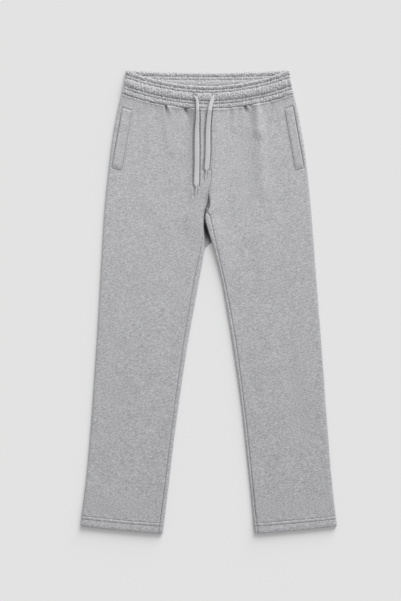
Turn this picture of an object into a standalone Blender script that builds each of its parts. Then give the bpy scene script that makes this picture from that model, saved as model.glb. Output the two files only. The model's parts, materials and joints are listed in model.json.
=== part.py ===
"""Straight-leg sweatpants laid flat on their back, front up, at real size.

Frame: metres, +Z up, floor at z = 0, +Y towards the waist, +X towards the wearer's left leg.
The origin is the middle of the footprint. Lengths in the tables below are millimetres, and
`out` is always a distance from the middle line, measured away from it on that leg's side.
"""
import math
from collections import namedtuple

import bmesh
import bpy
from mathutils import Vector
from mathutils.bvhtree import BVHTree

MM = 0.001

# Cloth
WALL = 2.2               # brushed fleece
HEM_WALL = 3.7           # two plies of it, pressed together by the hem stitching
BAND_WALL = 3.8          # folded fleece with the elastic inside
SEAM_GAP = 0.3           # between any two pieces
LAYER_GAP = 0.8          # air between front and back at the folded sides
SEAM_SINK = 0.5          # the cloth dips this much at a sewn edge
SEAM_ROLL = 2.0          # and comes back up within this distance
SLIVER = 0.001           # keeps a point on its own side of a fold's outermost line

# Overall lengths along the leg
BAND_TOP_Y = 524.5
BAND_HEIGHT = 52.0
FRONT_DIP = 35.0         # the front waist curves down this far below the side seams
BACK_DIP = 5.6
DIP_POWER = 1.9
HEM_SIDE_Y = -508.6
HEM_INNER_Y = -524.5
HEM_BOW = 0.25
HEM_HEIGHT = 24.5
CROTCH_Y = 206.0         # where both inseams, the front seam and the seat seam meet
CREASE_LENGTH = 42.0     # the front seam lies in a crease this far above the crotch
SEAT_CREASE_LENGTH = 34.0

# Height of the two layers together, at the folded sides
STACK = 2 * WALL + LAYER_GAP
HEM_STACK = 2 * HEM_WALL + 0.4
BAND_STACK = 2 * BAND_WALL + 0.8
BAND_FOLD = (BAND_STACK - SEAM_GAP) / 2
HEM_SETTLE = 16.0        # distances over which the cloth comes down from hem and band
BAND_SETTLE = 20.0
DOME = 1.3               # soft loft of the upper layer away from the folds
DOME_REACH = 34.0
HEM_FLATNESS = 0.6       # share of the loft that the hem takes away
LOFT_LOW = -0.4          # the upper layer is never lower or higher than this
LOFT_HIGH = 2.8

# Waistband
GATHERS = 54             # in each half
GATHER_DEPTH = 0.8
EDGE_WAVE = 0.5
STITCH_PINCH = 0.7
EYELET_DEPTH = 1.9
EYELET_REACH = 8.0

# Pocket welts: ends of their middle lines, as out, y
Welt = namedtuple("Welt", "top bottom width")
WELTS = {
    "right": Welt((184.7, 436.4), (208.7, 301.1), 21.0),
    "left": Welt((181.0, 439.6), (206.1, 301.1), 18.5),
}
WELT_THICK = 1.6
WELT_SLANT = 2.6         # the short ends lean this much away from square to the welt

# Drawstring: flat tape, bunched where it leaves the band, with thin bound tips
TAPE_WIDE = 10.8
TAPE_THICK = 2.8
BUNCH_WIDE = {"right": 6.2, "left": 8.8}
BUNCH_THICK = 4.4
BUNCH_LENGTH = 105.0
TIP_DIAMETER = 3.0
CORD_STEP = 9.0

OutSeam = namedtuple("OutSeam", "y right left")
OUTSEAMS = (
    OutSeam(525, 187.3, 183.4),
    OutSeam(500, 191.7, 186.5),
    OutSeam(474, 196.8, 192.1),
    OutSeam(440, 205.2, 200.8),
    OutSeam(372, 217.7, 213.8),
    OutSeam(308, 225.6, 222.5),
    OutSeam(213, 235.3, 232.2),
    OutSeam(118, 241.4, 239.3),
    OutSeam(-9, 248.5, 249.0),
    OutSeam(-136, 256.4, 258.6),
    OutSeam(-264, 265.5, 267.9),
    OutSeam(-391, 276.4, 278.1),
    OutSeam(-510, 291.0, 291.0),
)

# Inner fold of each leg, and how far in from it the inseam lies on the front
InnerLeg = namedtuple("InnerLeg", "y right left right_inset left_inset")
INNER_LEGS = (
    InnerLeg(206, 5.6, -5.6, 0.0, 0.0),
    InnerLeg(199, 8.6, -8.6, 0.0, 9.0),
    InnerLeg(193, 9.8, -10.2, 0.0, 12.5),
    InnerLeg(183, 10.6, -7.4, 0.0, 12.4),
    InnerLeg(174, 10.7, -4.4, 0.3, 11.6),
    InnerLeg(156, 10.0, 0.6, 2.6, 10.4),
    InnerLeg(140, 9.2, 5.2, 6.0, 9.1),
    InnerLeg(106, 11.6, 14.8, 9.7, 7.1),
    InnerLeg(50, 21.7, 29.1, 11.6, 5.6),
    InnerLeg(4, 29.9, 37.6, 11.8, 6.6),
    InnerLeg(-87, 46.3, 52.8, 10.4, 7.6),
    InnerLeg(-223, 66.7, 72.8, 9.6, 6.0),
    InnerLeg(-314, 78.8, 83.0, 9.2, 6.0),
    InnerLeg(-404, 89.4, 92.5, 9.4, 6.0),
    InnerLeg(-525, 104.0, 104.6, 10.2, 6.0),
)

MiddleSeam = namedtuple("MiddleSeam", "y x")
FRONT_SEAM = (
    MiddleSeam(480, 1.4),
    MiddleSeam(438, 2.4),
    MiddleSeam(390, 6.7),
    MiddleSeam(290, 6.4),
    MiddleSeam(252, 0.9),
    MiddleSeam(228, 1.1),
    MiddleSeam(215, -2.1),
    MiddleSeam(206, -5.6),
)
SEAT_SEAM = (
    MiddleSeam(480, -3.6),
    MiddleSeam(340, -4.1),
    MiddleSeam(206, -5.6),
)

# Largest folds of the front: a straight run, its half width and its height (below 0: a trough)
# It fades out over its two ends, given as shares of its length.
FOLD_START = 0.25
FOLD_END = 0.35
Fold = namedtuple("Fold", "x0 y0 x1 y1 half_width height")
FOLDS = (
    Fold(-44, 440, -39, 300, 12, -1.5),
    Fold(-95, 440, -87, 385, 9, -1.1),
    Fold(89, 446, 101, 380, 9, -1.4),
    Fold(101, 380, 111, 285, 10, -1.2),
    Fold(125, 425, 133, 300, 12, 1.3),
    Fold(49, 436, 47, 390, 9, -1.0),
    Fold(9, 262, 11, 214, 9, 1.2),
    Fold(-63, 240, -21, 196, 16, 0.9),
    Fold(27, 190, 72, 60, 16, 0.9),
    Fold(-153, 250, -73, 150, 26, 0.6),
    Fold(147, 250, 87, 120, 26, 0.6),
    Fold(-123, 0, -153, -240, 24, 0.6),
    Fold(127, -20, 162, -260, 24, 0.6),
    Fold(-193, -180, -218, -420, 22, -0.6),
    Fold(197, -160, 222, -400, 22, -0.6),
)

# Rows across a leg: distance below the band seam, plain height, or distance above the hem
SEAM_ROWS = (0, 3, 12, 32)
PLAIN_ROWS = (352, 308, 270, 244, 228, 216, 206, 200, 193, 184, 172, 152, 126, 92, 46,
              -10, -80, -150, -230, -310, -390, -440)
HEM_ROWS = (42, 26, 24.5, 15.8, 1.8, 0)
FRONT_COLUMNS = 13
FRONT_TAIL = 4           # columns over the inner fold, or up to the seam
FRONT_TAIL_FLAT = 3.0
BACK_COLUMNS = 4
BACK_TAIL = 7            # columns from the flat round the inner fold to the inseam
BACK_TAIL_FLAT = 8.0
SEAM_TUCK = ((0, 0.9), (3, 0.4))      # the panel's top rows dip to the band: distance, depth
HEM_TURN = 1.2           # the hem's edge is rounded off by this on both faces

# Rows down the waistband: distance from its top edge, lift, and how much the gathers show
BandRow = namedtuple("BandRow", "down lift gather")
FRONT_BAND_ROWS = (
    BandRow(0.0, -1.5, 0.3),
    BandRow(1.8, 0.0, 0.8),
    BandRow(9.3, -STITCH_PINCH, 0.5),
    BandRow(12.6, 0.2, 1.0),
    BandRow(16.0, -STITCH_PINCH, 0.5),
    BandRow(20.5, 0.8, 1.0),
    BandRow(30.0, 0.8, 1.2),
    BandRow(34.5, -STITCH_PINCH, 0.6),
    BandRow(38.1, 0.2, 1.0),
    BandRow(41.7, -STITCH_PINCH, 0.5),
    BandRow(45.5, 0.3, 0.9),
    BandRow(50.0, -0.2, 0.7),
    BandRow(52.0, -0.9, 0.3),
)
BACK_BAND_ROWS = (
    BandRow(0.0, -1.5, 0.3),
    BandRow(1.8, 0.0, 0.5),
    BandRow(9.3, -0.5, 0.4),
    BandRow(12.6, 0.0, 0.5),
    BandRow(16.0, -0.5, 0.4),
    BandRow(31.0, -0.1, 0.5),
    BandRow(52.0, -0.6, 0.3),
)
PLAIN_BAND_ROWS = (
    BandRow(0.0, -1.5, 0.0),
    BandRow(2.0, 0.0, 0.0),
    BandRow(52.0, 0.0, 0.0),
)

# Drawstring ends: route over the band and the front; the tape ends at the last point
RoutePoint = namedtuple("RoutePoint", "x y")
RIGHT_CORD = (
    RoutePoint(-33.1, 466.0),
    RoutePoint(-27.7, 459.0),
    RoutePoint(-25.8, 452.0),
    RoutePoint(-25.3, 435.5),
    RoutePoint(-25.5, 412.0),
    RoutePoint(-26.6, 388.0),
    RoutePoint(-26.8, 318.0),
    RoutePoint(-28.2, 260.0),
)
LEFT_CORD = (
    RoutePoint(11.0, 466.0),
    RoutePoint(6.4, 452.0),
    RoutePoint(2.6, 435.5),
    RoutePoint(-0.1, 412.0),
    RoutePoint(-1.7, 388.0),
    RoutePoint(-2.2, 336.0),
    RoutePoint(-5.2, 296.0),
)
RIGHT_TIP_END = RoutePoint(-30.2, 238.2)
LEFT_TIP_END = RoutePoint(-7.8, 276.0)

Finish = namedtuple("Finish", "colour roughness")
FLEECE = Finish((0.43, 0.43, 0.445), 0.95)
BAND_FLEECE = Finish((0.40, 0.40, 0.415), 0.95)
TAPE = Finish((0.52, 0.52, 0.535), 0.85)


# ---------------------------------------------------------------- smooth curves and steps

def curve_through(heights, values):
    """A smooth function of height through the given points, straight on past its ends."""
    pairs = sorted(zip(heights, values))
    slopes = []
    for i in range(len(pairs)):
        before = pairs[max(i - 1, 0)]
        after = pairs[min(i + 1, len(pairs) - 1)]
        slopes.append((after[1] - before[1]) / (after[0] - before[0]))

    def at(height):
        i = 0
        while i < len(pairs) - 2 and height > pairs[i + 1][0]:
            i += 1
        low, high = pairs[i], pairs[i + 1]
        span = high[0] - low[0]
        t = (height - low[0]) / span
        if t < 0:
            return low[1] + slopes[i] * (height - low[0])
        if t > 1:
            return high[1] + slopes[i + 1] * (height - high[0])
        from_low = low[1] * (1 + 2 * t) + slopes[i] * span * t
        from_high = high[1] * (3 - 2 * t) + slopes[i + 1] * span * (t - 1)
        return from_low * (1 - t) ** 2 + from_high * t * t

    return at


def column_curve(rows, column):
    return curve_through([row.y for row in rows], [getattr(row, column) for row in rows])


def step(t):
    """0 below 0, 1 above 1, and a soft rise between."""
    t = min(max(t, 0.0), 1.0)
    return t * t * (3 - 2 * t)


def spread(first, last, count):
    return [first + (last - first) * i / (count - 1) for i in range(count)]


RIGHT = "right"
LEFT = "left"
SIGN = {RIGHT: -1, LEFT: 1}
outseam = {side: column_curve(OUTSEAMS, side) for side in SIGN}
inner_fold = {side: column_curve(INNER_LEGS, side) for side in SIGN}
inseam_inset = {side: column_curve(INNER_LEGS, side + "_inset") for side in SIGN}
front_seam = column_curve(FRONT_SEAM, "x")
seat_seam = column_curve(SEAT_SEAM, "x")


# ---------------------------------------------------------------- the cloth's edges and heights

def waist_dip(across, dip):
    """How far the waist has come down; `across` is 1 at a side fold and 0 in the middle."""
    return dip * (1 - abs(across) ** DIP_POWER)


def waist_span(y):
    """Middle and half width of the body at a height, between the tops of its side folds."""
    middle = (outseam[LEFT](y) - outseam[RIGHT](y)) / 2
    return middle, (outseam[LEFT](y) + outseam[RIGHT](y)) / 2 - BAND_FOLD


def hem_y(inwards):
    """Height of a hem's edge; `inwards` is 0 at the outseam and 1 at the inner fold."""
    bow = (1 + HEM_BOW) * inwards - HEM_BOW * inwards ** 2
    return HEM_SIDE_Y + (HEM_INNER_Y - HEM_SIDE_Y) * bow


Place = namedtuple("Place", "y above_hem below_band")
FAR = 1000.0


def place_on_leg(side, row, column, upper):
    """Turn a row of the table, such as ("seam", 12), into a place at one column."""
    kind, value = row
    if kind == "hem":
        return Place(hem_y(column.inwards) + value, value, FAR)
    dip = FRONT_DIP if upper else BACK_DIP
    band_seam = BAND_TOP_Y - BAND_HEIGHT - SEAM_GAP
    y = value if kind == "plain" else band_seam - value
    for _ in range(4):
        place = Place(y, y - hem_y(column.inwards), band_seam - y)
        middle, half = waist_span(y)
        x = SIGN[side] * column_spot(side, column, place, upper).out
        across = min(abs(x - middle) / half, 1.0)
        band_seam = BAND_TOP_Y - BAND_HEIGHT - SEAM_GAP - waist_dip(across, dip)
        if kind == "seam":
            y = band_seam - value
    return Place(y, y - hem_y(column.inwards), band_seam - y)


def stack_at(place):
    """Height of both layers at a folded side."""
    from_hem = math.exp(-max(place.above_hem - HEM_HEIGHT, 0) / HEM_SETTLE)
    from_band = math.exp(-max(place.below_band, 0) / BAND_SETTLE)
    return STACK + (HEM_STACK - STACK) * from_hem + (BAND_STACK - STACK) * from_band


def wall_at(place):
    turned = step((HEM_HEIGHT + 1.5 - place.above_hem) / 1.5)
    return WALL + (HEM_WALL - WALL) * turned


def fold_height(x, y):
    total = 0.0
    for fold in FOLDS:
        start = Vector((fold.x0, fold.y0))
        along = Vector((fold.x1, fold.y1)) - start
        length = along.length
        along /= length
        offset = Vector((x, y)) - start
        run = offset.dot(along) / length
        aside = along.cross(offset) / fold.half_width
        ends = step(run / FOLD_START + 0.5) * step((1 - run) / FOLD_END + 0.3)
        total += fold.height * ends * math.exp(-aside * aside)
    return total


def loft(side, out, place):
    """How far the upper layer stands above the stack height, away from the folded edges."""
    from_outseam = (outseam[side](place.y) - out) / DOME_REACH
    from_inner = (out - inner_fold[side](min(place.y, CROTCH_Y))) / DOME_REACH
    from_inner += max(place.y - CROTCH_Y, 0) / CREASE_LENGTH
    clear_of_band = 1 - math.exp(-max(place.below_band, 0) / BAND_SETTLE)
    clear_of_hem = step((place.above_hem - HEM_HEIGHT) / DOME_REACH)
    height = DOME * step(from_outseam) * step(from_inner) * clear_of_band
    height *= 1 - HEM_FLATNESS * (1 - clear_of_hem)
    folds = fold_height(SIGN[side] * out, place.y)
    height += folds * step(1.6 * from_outseam) * step(1.6 * from_inner)
    return min(max(height, LOFT_LOW), LOFT_HIGH)


# ---------------------------------------------------------------- the flattened tube

FoldSpot = namedtuple("FoldSpot", "inset z lean rise")


def round_fold(run, radius):
    """Place on a folded side, `run` from its outermost line: up and over, or below 0, under.

    Gives the distance in from the outermost line, the height, and the outward direction.
    """
    quarter = math.pi * radius / 2
    upper = run >= 0
    lift = SEAM_GAP if upper else 0.0
    if abs(run) < quarter:
        angle = run / radius
        height = radius * (1 + math.sin(angle)) + lift
        return FoldSpot(radius * (1 - math.cos(angle)), height, math.cos(angle), math.sin(angle))
    height = 2 * radius + lift if upper else 0.0
    return FoldSpot(radius + abs(run) - quarter, height, 0.0, 1.0 if upper else -1.0)


def run_to_inset(inset, radius):
    """The run over the top of a fold that ends `inset` in from its outermost line."""
    if inset >= radius:
        return inset - radius + math.pi * radius / 2
    return radius * math.acos(1 - max(inset, 0.0) / radius)


def inner_end(side, place, radius, upper):
    """Where a layer ends inwards: the fold's outermost line, and the layer's last run on it."""
    if place.y < CROTCH_Y:
        seam_run = run_to_inset(inseam_inset[side](place.y), radius)
        clearance = SEAM_GAP / 2 if upper else -SEAM_GAP / 2
        return inner_fold[side](place.y) + SEAM_GAP / 2, max(seam_run + clearance, 0.0)
    crease = CREASE_LENGTH if upper else SEAT_CREASE_LENGTH
    turn = math.pi / 2 * step((place.y - CROTCH_Y) / crease)
    last_run = radius * turn if upper else -radius * turn - SLIVER
    seam_x = front_seam(place.y) if upper else seat_seam(place.y)
    seam_out = SIGN[side] * seam_x + SEAM_GAP / 2
    return seam_out - round_fold(last_run, radius).inset, last_run


Column = namedtuple("Column", "inwards kind value")


def leg_columns(upper):
    """The columns of a layer, from the outseam inwards."""
    middle = FRONT_COLUMNS if upper else BACK_COLUMNS
    tail = FRONT_TAIL if upper else BACK_TAIL
    columns = [Column(0.0, "outer", t) for t in (0.0, 0.5, 1.0)]
    columns += [Column(i / (middle + 1), "across", i / (middle + 1)) for i in range(1, middle + 1)]
    columns += [Column(1.0, "inner", t) for t in spread(0.0, 1.0, tail)]
    return columns


ColumnSpot = namedtuple("ColumnSpot", "out z lean rise tail_length")


def column_spot(side, column, place, upper):
    """Where a column crosses a row, before loft: a place on the flattened tube's outside."""
    radius = (stack_at(place) - SEAM_GAP) / 2
    quarter = math.pi * radius / 2
    way = 1 if upper else -1
    fold_line, last_run = inner_end(side, place, radius, upper)
    if upper:
        first_run = max(last_run, quarter) + FRONT_TAIL_FLAT
    else:
        first_run = -quarter - BACK_TAIL_FLAT
    outer_out = outseam[side](place.y)
    if column.kind == "outer":
        spot = round_fold(way * max(quarter * column.value, SLIVER), radius)
        out = outer_out - spot.inset
        lean = spot.lean
    elif column.kind == "inner":
        spot = round_fold(first_run + (last_run - first_run) * column.value, radius)
        out = fold_line + spot.inset
        lean = -spot.lean
    else:
        spot = round_fold(way * quarter, radius)
        inner_out = fold_line + round_fold(first_run, radius).inset
        out = outer_out - radius + (inner_out - outer_out + radius) * column.value
        lean = 0.0
    return ColumnSpot(out, spot.z, lean, spot.rise, abs(last_run - first_run))


def leg_point(side, column, place, upper):
    """Outer and inner face of the cloth at one column of one row, in millimetres."""
    spot = column_spot(side, column, place, upper)
    z = spot.z
    if spot.rise > 0:
        z += loft(side, spot.out, place) * spot.rise ** 2
    wall = wall_at(place)
    turn = HEM_TURN if place.above_hem < 0.01 else 0.0
    near = sewn_sink(column, place, spot.tail_length) + turn
    far = wall - turn
    outer = (spot.out - spot.lean * near, z - spot.rise * near)
    inner = (spot.out - spot.lean * far, z - spot.rise * far)
    return outer, inner


def sewn_sink(column, place, tail_length):
    """How far the outer face dips to a sewn edge."""
    sink = 0.0
    if column.kind == "inner":
        to_edge = tail_length * (1 - column.value)
        sink = SEAM_SINK * step(1 - to_edge / SEAM_ROLL)
    for distance, depth in SEAM_TUCK:
        if abs(place.below_band - distance) < 0.01:
            sink = max(sink, depth)
    return sink


# ---------------------------------------------------------------- meshes

def to_metres(x, y, z):
    return Vector((x, y, z)) * MM


def new_object(name, bm, finish):
    bmesh.ops.triangulate(bm, faces=bm.faces, quad_method="FIXED", ngon_method="BEAUTY")
    bmesh.ops.recalc_face_normals(bm, faces=bm.faces)
    mesh = bpy.data.meshes.new(name)
    bm.to_mesh(mesh)
    bm.free()
    mesh.shade_smooth()
    mesh.set_sharp_from_angle(angle=math.radians(50))
    mesh.materials.append(material(name, finish))
    item = bpy.data.objects.new(name, mesh)
    bpy.context.scene.collection.objects.link(item)
    return item


def material(name, finish):
    made = bpy.data.materials.new(name)
    made.use_nodes = True
    shader = made.node_tree.nodes["Principled BSDF"]
    shader.inputs["Base Color"].default_value = (*finish.colour, 1.0)
    shader.inputs["Roughness"].default_value = finish.roughness
    shader.inputs["Metallic"].default_value = 0.0
    return made


def add_grid(bm, rows):
    """Vertices and faces of one face of the cloth, a row at a time."""
    verts = [[bm.verts.new(point) for point in row] for row in rows]
    for lower, upper in zip(verts, verts[1:]):
        for i in range(len(lower) - 1):
            bm.faces.new((lower[i], lower[i + 1], upper[i + 1], upper[i]))
    return verts


def join_edges(bm, first, second):
    for i in range(len(first) - 1):
        bm.faces.new((first[i], first[i + 1], second[i + 1], second[i]))


def cloth_solid(name, outer_rows, inner_rows, finish):
    """A wall of cloth between two faces; the faces may differ in their number of rows."""
    bm = bmesh.new()
    outer = add_grid(bm, outer_rows)
    inner = add_grid(bm, inner_rows)
    join_edges(bm, outer[0], inner[0])
    join_edges(bm, outer[-1], inner[-1])
    for end in (0, -1):
        outer_edge = [row[end] for row in outer]
        inner_edge = [row[end] for row in inner]
        if len(outer_edge) == len(inner_edge):
            join_edges(bm, outer_edge, inner_edge)
        else:
            bm.faces.new(outer_edge + inner_edge[::-1])
    return new_object(name, bm, finish)


# ---------------------------------------------------------------- legs

def leg_rows():
    rows = [("seam", value) for value in SEAM_ROWS]
    rows += [("plain", value) for value in PLAIN_ROWS]
    rows += [("hem", value) for value in HEM_ROWS]
    return rows


def leg_panel(name, side, upper):
    """The front or back of one leg, from the band seam to the hem."""
    outer_rows = []
    inner_rows = []
    for row in leg_rows():
        outer_row = []
        inner_row = []
        for column in leg_columns(upper):
            place = place_on_leg(side, row, column, upper)
            outer, inner = leg_point(side, column, place, upper)
            outer_row.append(to_metres(SIGN[side] * outer[0], place.y, outer[1]))
            inner_row.append(to_metres(SIGN[side] * inner[0], place.y, inner[1]))
        outer_rows.append(outer_row)
        inner_rows.append(inner_row)
    return cloth_solid(name, outer_rows, inner_rows, FLEECE)


# ---------------------------------------------------------------- waistband

def gather_wave(index):
    """Ridge and valley by turns, each of its own height."""
    sign = 1 if index % 2 else -1
    return GATHER_DEPTH * sign * (0.75 + 0.35 * math.sin(2.1 * index) * math.sin(0.37 * index + 1))


def eyelet_dent(x, y):
    dent = 0.0
    for exit_point in (RIGHT_CORD[0], LEFT_CORD[0]):
        distance = math.hypot(x - exit_point.x, y - exit_point.y) / EYELET_REACH
        dent -= EYELET_DEPTH * math.exp(-distance * distance * 2)
    return dent


def band_rows(rows, dip, upper, inside):
    """One face of a half of the band, from side fold to side fold, its top row first."""
    quarter = math.pi * BAND_FOLD / 2
    way = 1 if upper else -1
    count = 2 * GATHERS
    points = []
    for row in rows:
        line = []
        for index in range(-2, count + 3):
            across = min(max(2 * index / count - 1, -1.0), 1.0)
            past_end = max(-index, index - count, 0) / 2
            spot = round_fold(way * max(quarter * (1 - past_end), SLIVER), BAND_FOLD)
            y = BAND_TOP_Y - waist_dip(across, dip) - row.down
            middle, half = waist_span(y)
            x = middle + across * (half + BAND_FOLD - spot.inset)
            relief = row.lift + row.gather * gather_wave(index)
            if upper and not inside:
                relief += eyelet_dent(x, y)
            relief *= spot.rise ** 2
            if row.down == 0:
                y += EDGE_WAVE * (math.cos(1.3 * index) - 1) * (1 - abs(across) ** 8)
            depth = BAND_WALL + relief if inside else -relief
            lean = math.copysign(spot.lean, across)
            line.append(to_metres(x - lean * depth, y, spot.z - spot.rise * depth))
        points.append(line)
    return points


def waistband():
    front_outer = band_rows(FRONT_BAND_ROWS, FRONT_DIP, upper=True, inside=False)
    front_inner = band_rows(PLAIN_BAND_ROWS, FRONT_DIP, upper=True, inside=True)
    front = cloth_solid("waistband_front", front_outer, front_inner, BAND_FLEECE)
    back_outer = band_rows(PLAIN_BAND_ROWS, BACK_DIP, upper=False, inside=False)
    back_inner = band_rows(BACK_BAND_ROWS, BACK_DIP, upper=False, inside=True)
    cloth_solid("waistband_back", back_outer, back_inner, BAND_FLEECE)
    return front


# ---------------------------------------------------------------- what lies on the front

def surface_of(items):
    """A function that gives the height, in millimetres, of the highest of these at x, y."""
    trees = [BVHTree.FromPolygons([v.co for v in item.data.vertices],
                                  [p.vertices for p in item.data.polygons]) for item in items]
    above = 0.1

    def height(x, y):
        hits = [tree.ray_cast(Vector((x * MM, y * MM, above)), Vector((0, 0, -1))) for tree in trees]
        return max((hit[0].z for hit in hits if hit[0]), default=0.0) / MM

    return height


def pocket_welt(side, height):
    """A strip sewn along the pocket opening."""
    sign = SIGN[side]
    top = Vector(WELTS[side].top)
    bottom = Vector(WELTS[side].bottom)
    width = WELTS[side].width
    along = (bottom - top).normalized()
    outwards = Vector((-along.y, along.x))
    upper_rows = []
    lower_rows = []
    for t in spread(0.0, 1.0, 12):
        upper_row = []
        lower_row = []
        for aside in spread(-0.5, 0.5, 4):
            spot = top.lerp(bottom, t) + outwards * aside * width - along * aside * WELT_SLANT
            x = sign * spot.x
            rest = height(x, spot.y) + SEAM_GAP
            edge = abs(aside) > 0.4
            upper_row.append(to_metres(x, spot.y, rest + WELT_THICK * (0.7 if edge else 1.0)))
            lower_row.append(to_metres(x, spot.y, rest))
        upper_rows.append(upper_row)
        lower_rows.append(lower_row)
    return cloth_solid("pocket_welt_" + side, upper_rows, lower_rows, FLEECE)


CordStation = namedtuple("CordStation", "x y wide thick")
SECTION_SIDES = 8


def cord_solid(name, stations, height, finish):
    """A flat or round strip laid on what is under it, its section lifted clear all across."""
    bm = bmesh.new()
    rings = []
    for i, station in enumerate(stations):
        before = stations[max(i - 1, 0)]
        after = stations[min(i + 1, len(stations) - 1)]
        along = Vector((after.x - before.x, after.y - before.y)).normalized()
        across = Vector((along.y, -along.x))
        reach = 0.5 * CORD_STEP if 0 < i < len(stations) - 1 else 0.0
        rest = SEAM_GAP + max(
            height(station.x + across.x * a * station.wide / 2 + along.x * b,
                   station.y + across.y * a * station.wide / 2 + along.y * b)
            for a in (-1, -0.5, 0, 0.5, 1) for b in (-reach, 0, reach))
        ring = []
        for k in range(SECTION_SIDES):
            angle = 2 * math.pi * (k + 0.5) / SECTION_SIDES
            sway = math.cos(angle) / math.cos(math.pi / SECTION_SIDES) * station.wide / 2
            rise = math.sin(angle) / math.sin(math.pi * 3 / SECTION_SIDES) * station.thick / 2
            ring.append(bm.verts.new(to_metres(station.x + across.x * sway, station.y + across.y * sway,
                                               rest + station.thick / 2 + rise)))
        rings.append(ring)
    for first, second in zip(rings, rings[1:]):
        join_edges(bm, first + first[:1], second + second[:1])
    bm.faces.new(rings[0])
    bm.faces.new(rings[-1])
    return new_object(name, bm, finish)


def drawcord(side, route, height):
    x_at = curve_through([point.y for point in route], [point.x for point in route])
    length = route[0].y - route[-1].y
    stations = []
    for y in spread(route[0].y, route[-1].y, round(length / CORD_STEP) + 1):
        flat = step((route[0].y - y) / BUNCH_LENGTH)
        wide = BUNCH_WIDE[side] + (TAPE_WIDE - BUNCH_WIDE[side]) * flat
        thick = BUNCH_THICK + (TAPE_THICK - BUNCH_THICK) * flat
        stations.append(CordStation(x_at(y), y, wide, thick))
    return cord_solid("drawcord_" + side, stations, height, TAPE)


def cord_tip(side, tape_end, tip_end, height):
    """The thin bound end of the tape."""
    start = Vector(tape_end)
    along = (Vector(tip_end) - start).normalized()
    start += along * SEAM_GAP
    stations = []
    for t, size in ((0.0, 0.9), (0.12, 1.0), (0.5, 0.95), (0.9, 0.9), (1.0, 0.5)):
        spot = start.lerp(Vector(tip_end), t)
        stations.append(CordStation(spot.x, spot.y, TIP_DIAMETER * size, TIP_DIAMETER * size))
    return cord_solid("cord_tip_" + side, stations, height, TAPE)


def main():
    for item in list(bpy.data.objects):
        bpy.data.objects.remove(item, do_unlink=True)
    fronts = [leg_panel("front_" + side, side, upper=True) for side in SIGN]
    for side in SIGN:
        leg_panel("back_" + side, side, upper=False)
    front_band = waistband()
    height = surface_of(fronts + [front_band])
    for side in SIGN:
        pocket_welt(side, height)
    drawcord(RIGHT, RIGHT_CORD, height)
    drawcord(LEFT, LEFT_CORD, height)
    cord_tip(RIGHT, RIGHT_CORD[-1], RIGHT_TIP_END, height)
    cord_tip(LEFT, LEFT_CORD[-1], LEFT_TIP_END, height)


main()
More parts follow.
